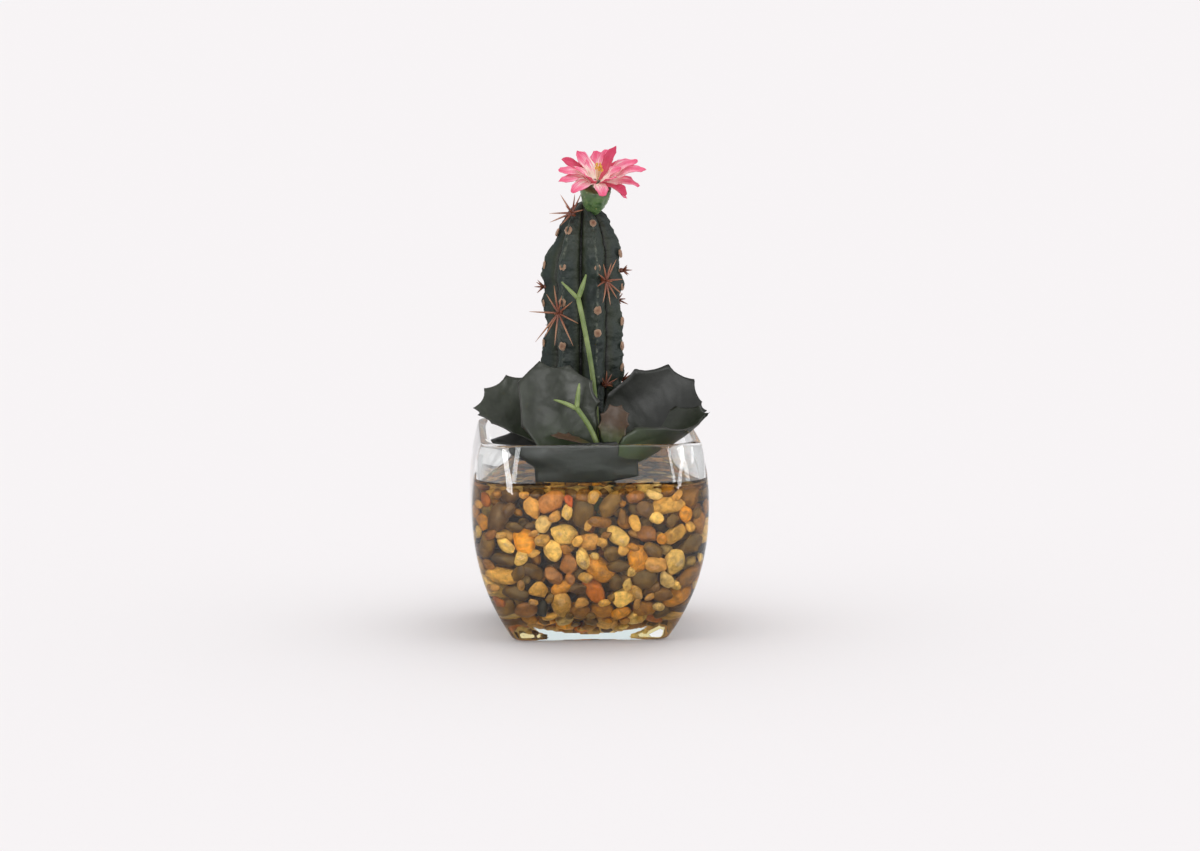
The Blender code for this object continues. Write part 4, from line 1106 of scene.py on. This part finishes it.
def blade(name, shape, columns, rows_per_tooth):
    """A leaf or petal as a sheet, with its place in mm in shape and its UV along the rib."""
    rows = shape["teeth"] * rows_per_tooth
    outline = blade_outline(shape, rows)
    length = shape["length"]
    base = Vector(shape["base"])
    facing = Vector(shape["facing"])
    first = Vector(shape["aim"]).normalized()
    last = Vector(shape["tip_aim"]).normalized()
    rib = [base]
    aims = []
    for i in range(RIB_STEPS + 1):
        aims.append(first.slerp(last, i / RIB_STEPS))
        rib.append(rib[-1] + aims[-1] * (length * RIB_REACH / RIB_STEPS))
    bpy.ops.object.select_all(action="DESELECT")
    bpy.ops.mesh.primitive_grid_add(x_subdivisions=columns, y_subdivisions=rows, size=2, calc_uvs=True)
    piece = bpy.context.object
    piece.name = name
    body = piece.vertex_groups.new(name="body")
    for vertex in piece.data.vertices:
        v = vertex.co.x
        row = round((vertex.co.y + 1) / 2 * rows)
        along, half, away = outline[row]
        cusp = abs(2 * ((row / rows_per_tooth + shape["phase"]) % 1.0) - 1) ** 2.2
        out = shape["tooth"] * cusp * smooth_share(row / rows * 2.2 - 0.25) * abs(v) ** 7
        s = along + away.x * out
        taper = 1 - shape["taper"][v > 0] * max((s / length - 0.4) / 0.6, 0.0) ** 1.6
        t = (half * abs(v) + away.y * out) * math.copysign(1, v) * shape["sides"][v > 0] * taper
        share = min(max(s / (length * RIB_REACH), 0.0), 1.0) * RIB_STEPS
        i = min(int(share), RIB_STEPS - 1)
        point = rib[i].lerp(rib[i + 1], share - i)
        side = aims[i].cross(facing).normalized()
        normal = side.cross(aims[i]).normalized()
        cup_base, cup_tip = shape["cup"]
        hollow = cup_base + (cup_tip - cup_base) * min(s / length, 1.0)
        turn = t / hollow
        rise = shape["wave"] * math.sin(s / length * 9 + base.x) * (2 * t / shape["width"]) ** 2
        spot = point + side * hollow * math.sin(turn) + normal * (hollow * (1 - math.cos(turn)) + rise)
        relief = shape["relief"] * (noise.noise(spot * 0.16) + 0.4 * noise.noise(spot * 0.5))
        vertex.co = (spot + normal * relief) * MM
        body.add([vertex.index], max(1 - 0.75 * abs(v) ** 3, 0.05), "REPLACE")
    wall = piece.modifiers.new("thickness", "SOLIDIFY")
    wall.thickness = shape["thick"] * MM
    wall.offset = 0
    wall.vertex_group = "body"
    wall.thickness_vertex_group = 0.12
    apply_modifiers(piece)
    close_and_smooth(0.01 * MM)
    return piece


def leaf(base, aim, tip_aim, facing, length, width, cup, **more):
    shape = dict(
        base=base, aim=aim, tip_aim=tip_aim, facing=facing, length=length, width=width, cup=cup,
        teeth=5, tooth=3.0, thick=1.3, base_half=3.0, widest=0.6, sides=(1, 1), wave=0.0, relief=0.3,
        tip_power=0.9, phase=0.0, taper=(0, 0),
    )
    shape.update(more)
    return shape


def leaf_finish(name, root, body, bloom, edge, roughness):
    """A moulded leaf: green at its root, dark over the rest, a soft bloom, and a thin dry edge."""
    made, tree, shader = finish_named(
        name, Roughness=roughness, Specular_IOR_Level=0.35, Coat_Weight=0.06, Coat_Roughness=0.35
    )
    place = add(tree, "TexCoord").outputs
    on_blade = add(tree, "SeparateXYZ", {0: place["UV"]}).outputs
    mist = noise_in(tree, place["Object"], 55, 4)
    fine = noise_in(tree, place["Object"], 480, 5)
    height = maths(tree, "ADD", on_blade["Y"], maths(tree, "MULTIPLY_ADD", mist, 0.5, -0.25))
    ground = blended(tree, spread(tree, height, 0.02, 0.5), linear(*root), linear(*body))
    bloomed = blended(tree, spread(tree, mist, 0.5, 0.72, 0.0, 0.55), ground, linear(*bloom))
    out = maths(tree, "ABSOLUTE", maths(tree, "SUBTRACT", on_blade["X"], 0.5))
    edged = blended(tree, spread(tree, out, 0.48, 0.5, 0.0, 0.8), bloomed, linear(*edge))
    paint(tree, shader, scaled(tree, edged, spread(tree, fine, 0.3, 0.7, 0.86, 1.12)))
    emboss(tree, shader, fine, 0.25, 0.25)
    return made


# Where each petal's tip lies from the heart in mm, right, away and up, and the petal's width
PETALS = (
    ((7.7, 2, 18.3), 4.6), ((4.2, 4, 16.9), 5.6), ((0.4, 8, 15.6), 6.0), ((-7.5, 5, 16.0), 6.4),
    ((-14.2, 4, 11.8), 6.4), ((-16.0, -2, 7.8), 6.2), ((-15.8, -6, 3.0), 6.2),
    ((-10.8, -12, -1.7), 6.4), ((1.7, -12, -3.6), 6.0), ((20.0, -1, 7.7), 7.0),
    ((16.9, 3, 11.8), 6.2), ((17.3, -2, -0.4), 6.0), ((11.6, 2, -6.2), 5.6), ((11.5, -8, -3.2), 5.6),
    ((-4, 14, 9), 6.2), ((6, 14, 9), 6.2), ((-12, 9, 8), 6.2), ((13, 11, 8), 6.2),
    ((-9, -4, 9), 5.6), ((9, -4, 10), 5.6), ((-3, 4, 13), 5.4), ((3, 5, 12), 5.4),
    ((-5, -9, 6), 5.6), ((7, -10, 5), 5.6),
)
DEEP_PETALS = (0, 13, 14, 17)
PETALS_OVER_CUP = 0.3 * MM
HEART_RISE = 1.2 * MM
heart_matrix = flower_axis @ Matrix.Translation((0, 0, CUP_HEIGHT + PETALS_OVER_CUP))
heart = heart_matrix @ Vector((0, 0, HEART_RISE))
ahead = (heart_matrix.to_3x3() @ UP).normalized()

petals = []
for k, (tip, width) in enumerate(PETALS):
    chord = Vector((tip[0], tip[1], 0.93 * tip[2] - 2.2))
    along = chord.normalized()
    radial = (along - ahead * along.dot(ahead)).normalized()
    start = (along + 0.45 * ahead).normalized()
    end = 2 * along.dot(start) * along - start
    shape = leaf(
        tuple(radial * 1.9), start, end, ahead, chord.length - 1.5, width, (5.5, 5.5),
        teeth=5, tooth=0.4, thick=0.35, base_half=1.1, widest=0.55, relief=0.9, tip_power=1.25,
        wave=0.5, phase=0.3 * (k % 3),
    )
    petal = blade(f"petal_{k}", shape, *PETAL_GRID)
    for vertex, value in carriers(petal, "depth"):
        value.value = 1.0 if k in DEEP_PETALS or vertex.normal.dot(ahead) < -0.15 else 0.0
    petal.data.transform(Matrix.Translation(heart))
    petals.append(petal)
petals = joined(petals)
petals.name = "flower_petal_whorls"
bpy.ops.object.shade_smooth()

pink, tree, shader = finish_named(
    "petal_cloth",
    Roughness=0.65,
    Sheen_Weight=0.25,
    Sheen_Roughness=0.4,
    Emission_Strength=0.13,
)
place = add(tree, "TexCoord").outputs
along = add(tree, "SeparateXYZ", {0: place["UV"]}).outputs["Y"]
lengthwise = add(tree, "Mapping", {"Vector": place["UV"], "Scale": (1.0, 0.08, 1.0)}).outputs[0]
streak = noise_in(tree, lengthwise, 14, 4)
height = maths(tree, "ADD", along, maths(tree, "MULTIPLY_ADD", streak, 1.8, -0.86))
hue = shades(
    tree,
    height,
    (0.32, linear(252, 240, 226)),
    (0.6, linear(248, 148, 178)),
    (1.0, linear(234, 68, 116)),
)
under = maths(tree, "MULTIPLY", own_value(tree, "depth"), 0.92)
dye_and_painted_glow = blended(tree, under, hue, linear(206, 34, 84))
paint(tree, shader, dye_and_painted_glow)
# Painted glow: the petals give off their own colour as light, standing in for light shining through the
# thin cloth
tree.links.new(dye_and_painted_glow, shader.inputs["Emission Color"])
weave = noise_in(tree, place["Object"], 900, 3)
emboss(tree, shader, maths(tree, "ADD", streak, weave), 0.5, 0.3)
hand_over(petals, "petal_pink", "flower_petals", finish=pink)

# Stamens
# Fine pale filaments with yellow anthers, in the middle of the petals.

STAMEN_SEED = 9
STAMEN_COUNT = 21
STAMENS_OVER_CUP = 2.4 * MM
draw = random.Random(STAMEN_SEED)
stamen_base = flower_axis @ Matrix.Translation((0, 0, CUP_HEIGHT + STAMENS_OVER_CUP))
filaments = []
anthers = []
for k in range(STAMEN_COUNT):
    around = 2 * math.pi * k / STAMEN_COUNT + draw.uniform(-0.1, 0.1)
    lean = draw.uniform(0.1, 0.42)
    out = Vector((math.cos(around) * lean, math.sin(around) * lean, 1)).normalized()
    tip = out * draw.uniform(5.0, 7.4) * MM
    middle = out * 3 * MM + UP * 0.5 * MM
    root = Vector((0, 0, -1 * MM)) + out * 0.5 * MM
    route = [(root, 0.17 * MM), (middle, 0.15 * MM), (tip, 0.12 * MM)]
    filaments.append([(stamen_base @ spot, radius) for spot, radius in route])
    top = stamen_base @ tip
    lift = (stamen_base.to_3x3() @ out).normalized() * 0.5 * MM
    anthers.append(
        [(top - lift, 0.2 * MM), (top, 0.55 * MM), (top + lift, 0.5 * MM), (top + 1.6 * lift, 0.1 * MM)]
    )
yellow = mottled(
    "anther_yellow", 1500, 2, (0, linear(222, 148, 30)), (1, linear(250, 214, 90)), Roughness=0.6
)
pale = mottled(
    "filament_cream", 500, 2, (0, linear(236, 200, 160)), (1, linear(248, 236, 200)), Roughness=0.5
)
filaments = strands("flower_filaments", filaments, 6)
hand_over(filaments, "stamen_yellow", finish=pale)
anthers = strands("flower_anthers", anthers, 8)
hand_over(anthers, "stamen_yellow", "flower_stamens", finish=yellow)

# Rosette stem
# The succulent's short green stem and side shoot. It is mostly hidden, so the solid itself shows.

stem_finish = mottled(
    "stem_green", 240, 5, (0, linear(48, 62, 38)), (1, linear(104, 120, 66)), relief=0.5, Roughness=0.55
)
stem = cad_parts["rosette_stem"]
stem.data.materials.clear()
stem.data.materials.append(stem_finish)

# Succulent leaves
# Six broad toothed leaves round the stem, dark grey green with a soft bloom, green at their roots.

LEAF_GRID = (28, 16)
LEAVES = {
    "leaf_left": leaf(
        (-1.9, -22.9, 72.6), (-0.76, 0.04, 0.65), (-0.98, 0.08, 0.17), (0.1, -0.84, 0.53),
        49.5, 45, (36, 36), teeth=7, tooth=2.2, wave=0.8, sides=(0.25, 0.88), tip_power=1.1,
    ),
    "leaf_back_left": leaf(
        (0.5, -30.2, 72.0), (-0.72, 0.02, 0.69), (0.2, 0.24, 0.95), (0.1, -0.95, 0.25),
        45, 35, (28, 28), tooth=2.2, wave=0.6, base_half=2.3, widest=0.62, tip_power=0.62, phase=0.5,
        sides=(0.94, 0.94),
    ),
    "leaf_back_right": leaf(
        (8.75, -19.65, 71.5), (0.68, 0.22, 0.7), (0.92, 0.18, 0.26), (0.14, -0.9, 0.42),
        46.2, 47, (32, 32), teeth=6, tooth=2.6, wave=1.0, widest=0.48, sides=(1, 0.42), tip_power=0.8,
        phase=-0.2,
    ),
    "leaf_right": leaf(
        (8.4, -26.8, 69.6), (0.95, 0.05, 0.3), (0.7, 0.05, 0.7), (-0.35, -0.05, 0.94),
        46, 46, (13, 15), teeth=6, tooth=1.8, base_half=12, widest=0.24, sides=(0.85, 1.0),
        tip_power=0.55, taper=(0, 1.1),
    ),
    "leaf_front": leaf(
        (-1.6, -37.6, 66.6), (-0.05, -0.3, 0.95), (-0.05, -0.05, 1.0), (-0.04, 0.95, 0.3),
        16.5, 57, (60, 60), teeth=4, tooth=0.4, widest=0.85, base_half=21.5, tip_power=0.3,
        wave=1.2,
    ),
    "leaf_low_left": leaf(
        (-1.9, -22.8, 69.0), (-0.95, 0.08, 0.28), (-0.93, 0.08, 0.35), (0.2, -0.45, 0.87),
        39, 19, (26, 26), teeth=4, tooth=1.8, sides=(0.8, 1),
    ),
}
# Screen colours of the root, the body, the bloom on it and the edge, and the roughness
dark_leaf = leaf_finish(
    "leaf_dark_green", (58, 78, 30), (42, 48, 35), (74, 80, 67), (34, 32, 24), 0.42
)
# Painted shade: the front and low left leaves under the rim are darkened nearly to black
deep_shade_leaf = leaf_finish(
    "leaf_painted_deep_shade", (20, 26, 14), (20, 24, 18), (34, 38, 30), (24, 22, 18), 0.5
)
# Painted shade: the back right leaf is darkened, though less than the leaves under the rim
shaded_leaf = leaf_finish(
    "leaf_shaded_green", (40, 52, 22), (24, 28, 21), (46, 51, 42), (26, 24, 18), 0.45
)
FINISH_OF_LEAF = {
    "leaf_front": deep_shade_leaf, "leaf_low_left": deep_shade_leaf, "leaf_back_right": shaded_leaf
}
for name, shape in LEAVES.items():
    piece = blade(name + "_blade", shape, *LEAF_GRID)
    hand_over(piece, "leaf_green", name, finish=FINISH_OF_LEAF.get(name, dark_leaf))

# Young leaves
# Two small leaves on the side shoot, light green at the root and dry reddish brown to the tip.

YOUNG_GRID = (20, 16)
YOUNG_LEAVES = {
    "leaf_small_right": leaf(
        (7.4, -37.3, 80.4), (0.1, -0.06, 0.96), (0.4, -0.06, 0.9), (-0.3, -0.9, 0.1),
        17.5, 11.5, (12, 12), teeth=5, tooth=1.4, thick=0.9, base_half=2.4, widest=0.55,
        tip_power=0.7,
    ),
    "leaf_small_left": leaf(
        (1.4, -36.2, 81.4), (-0.9, -0.1, 0.36), (-0.97, -0.05, 0.14), (0.0, -0.3, 0.95),
        17.5, 5.4, (9, 9), teeth=5, tooth=1.2, thick=0.8, base_half=1.4, widest=0.6,
    ),
}
young_leaf = leaf_finish(
    "leaf_young", (64, 90, 34), (84, 62, 42), (98, 74, 54), (70, 46, 32), 0.5
)
for name, shape in YOUNG_LEAVES.items():
    piece = blade(name + "_blade", shape, *YOUNG_GRID)
    hand_over(piece, "young_leaf", name, finish=young_leaf)

# Sprigs
# Two forked light green shoots, one before the cactus and one before the leaves.

SPRIG_RADIUS = 1.0
# Share of that radius at each point of a fork's two arms
ARM_WIDTHS = ([0.85, 1.0, 0.25], [0.9, 1.35, 0.3])
REAR_SPRIG = (
    ((4.2, -13.8, 60.0), (4.2, -13.8, 70.0), (3.6, -14.1, 85.0),
     (2.2, -15.0, 106.0), (-1.0, -15.6, 124.0), (-4.4, -15.6, 140.0)),
    ((-4.4, -15.6, 139.5), (-7.2, -15.7, 142.4), (-11.2, -15.8, 146.4)),
    ((-4.4, -15.6, 139.5), (-2.9, -15.8, 143.5), (-1.1, -15.9, 149.4)),
)
FRONT_SPRIG = (
    ((3.0, -35.7, 79.0), (2.4, -35.7, 82.0), (0.9, -35.6, 86.5),
     (-2.2, -36.0, 92.0), (-5.9, -36.0, 97.0)),
    ((-5.9, -36.0, 96.6), (-10.2, -35.8, 99.3), (-15.2, -35.4, 100.4)),
    ((-5.9, -36.0, 96.6), (-5.6, -35.8, 101.5), (-4.8, -35.4, 107.0)),
)
light_green = mottled(
    "sprig_green", 160, 4, (0.32, linear(104, 130, 56)), (0.68, linear(158, 176, 108)),
    relief=0.5, Roughness=0.48,
)
for node, routes in (("sprig_rear", REAR_SPRIG), ("sprig_front", FRONT_SPRIG)):
    widths = ([1.0] * len(routes[0]), *ARM_WIDTHS)
    stalks = [
        [(Vector(spot) * MM, SPRIG_RADIUS * wide * MM) for spot, wide in zip(route, wides)]
        for route, wides in zip(routes, widths)
    ]
    sprig = strands(node + "_shoot", stalks, 12)
    hand_over(sprig, "sprig_green", node, finish=light_green)

# Studio
# A plain pale floor and backdrop, soft light from both sides, and the camera at the photo's angle.

FLOOR_SIZE = 240
OBJECT_MIDDLE = Vector((0, 0, 90)) * MM
FILM_WIDTH = 36

bpy.ops.object.select_all(action="DESELECT")
bpy.ops.mesh.primitive_plane_add(size=FLOOR_SIZE, location=(0, 0, 0))
floor = bpy.context.object
floor.name = "studio_floor"
paper, tree, shader = finish_named(
    "studio_paper", Roughness=0.9, Specular_IOR_Level=0.0, Base_Color=(0.87, 0.852, 0.858, 1)
)
floor.data.materials.append(paper)

# The tent of white cloth over the table is brightest overhead, dimmer towards the horizon, and
# open to a darker room in front
world = bpy.data.worlds.new("studio")
bpy.context.scene.world = world
world.use_nodes = True
tent = world.node_tree
way = add(tent, "SeparateXYZ", {0: add(tent, "TexCoord").outputs["Generated"]}).outputs
glow = spread(tent, way["Z"], 0.0, 0.9, 0.54, 1.38)
room = spread(tent, way["Y"], -0.95, -0.45, 0.3, 1.0)
light = maths(tent, "MULTIPLY", glow, room)
tent.links.new(light, tent.nodes["Background"].inputs["Strength"])
tent.nodes["Background"].inputs["Color"].default_value = (0.99, 0.98, 0.985, 1)

bpy.context.scene.view_settings.view_transform = "Standard"


def soft_light(name, spot, size, power):
    """A bright panel that looks at the middle of the object, for its reflections only."""
    data = bpy.data.lights.new(name, "AREA")
    data.shape = "RECTANGLE"
    data.size, data.size_y = size
    data.energy = power
    lamp = new_object(name, data)
    lamp.location = spot
    lamp.visible_diffuse = False
    lamp.visible_camera = False
    lamp.rotation_euler = (OBJECT_MIDDLE - Vector(spot)).to_track_quat("-Z", "Y").to_euler()


soft_light("window_left", (-0.45, -1.33, 0.36), (0.4, 0.68), 12)
soft_light("window_right", (0.83, -1.25, 0.36), (0.36, 0.68), 8)
soft_light("window_side", (1.4, -0.35, 0.35), (0.3, 0.5), 3)

CAMERA_AZIMUTH = math.radians(-3)
CAMERA_ELEVATION = math.radians(8)
CAMERA_DISTANCE = 1.35
CAMERA_SPAN = 0.5
AIM_RIGHT = 5.4 * MM
AIM_UP = 84.8 * MM

camera = new_object("camera", bpy.data.cameras.new("camera"))
camera.data.sensor_width = FILM_WIDTH
camera.data.lens = FILM_WIDTH * CAMERA_DISTANCE / CAMERA_SPAN
back = Vector(
    (
        math.sin(CAMERA_AZIMUTH) * math.cos(CAMERA_ELEVATION),
        -math.cos(CAMERA_AZIMUTH) * math.cos(CAMERA_ELEVATION),
        math.sin(CAMERA_ELEVATION),
    )
)
aim = Vector((AIM_RIGHT * math.cos(CAMERA_AZIMUTH), AIM_RIGHT * math.sin(CAMERA_AZIMUTH), AIM_UP))
camera.location = aim + back * CAMERA_DISTANCE
camera.rotation_euler = (-back).to_track_quat("-Z", "Y").to_euler()
bpy.context.scene.camera = camera
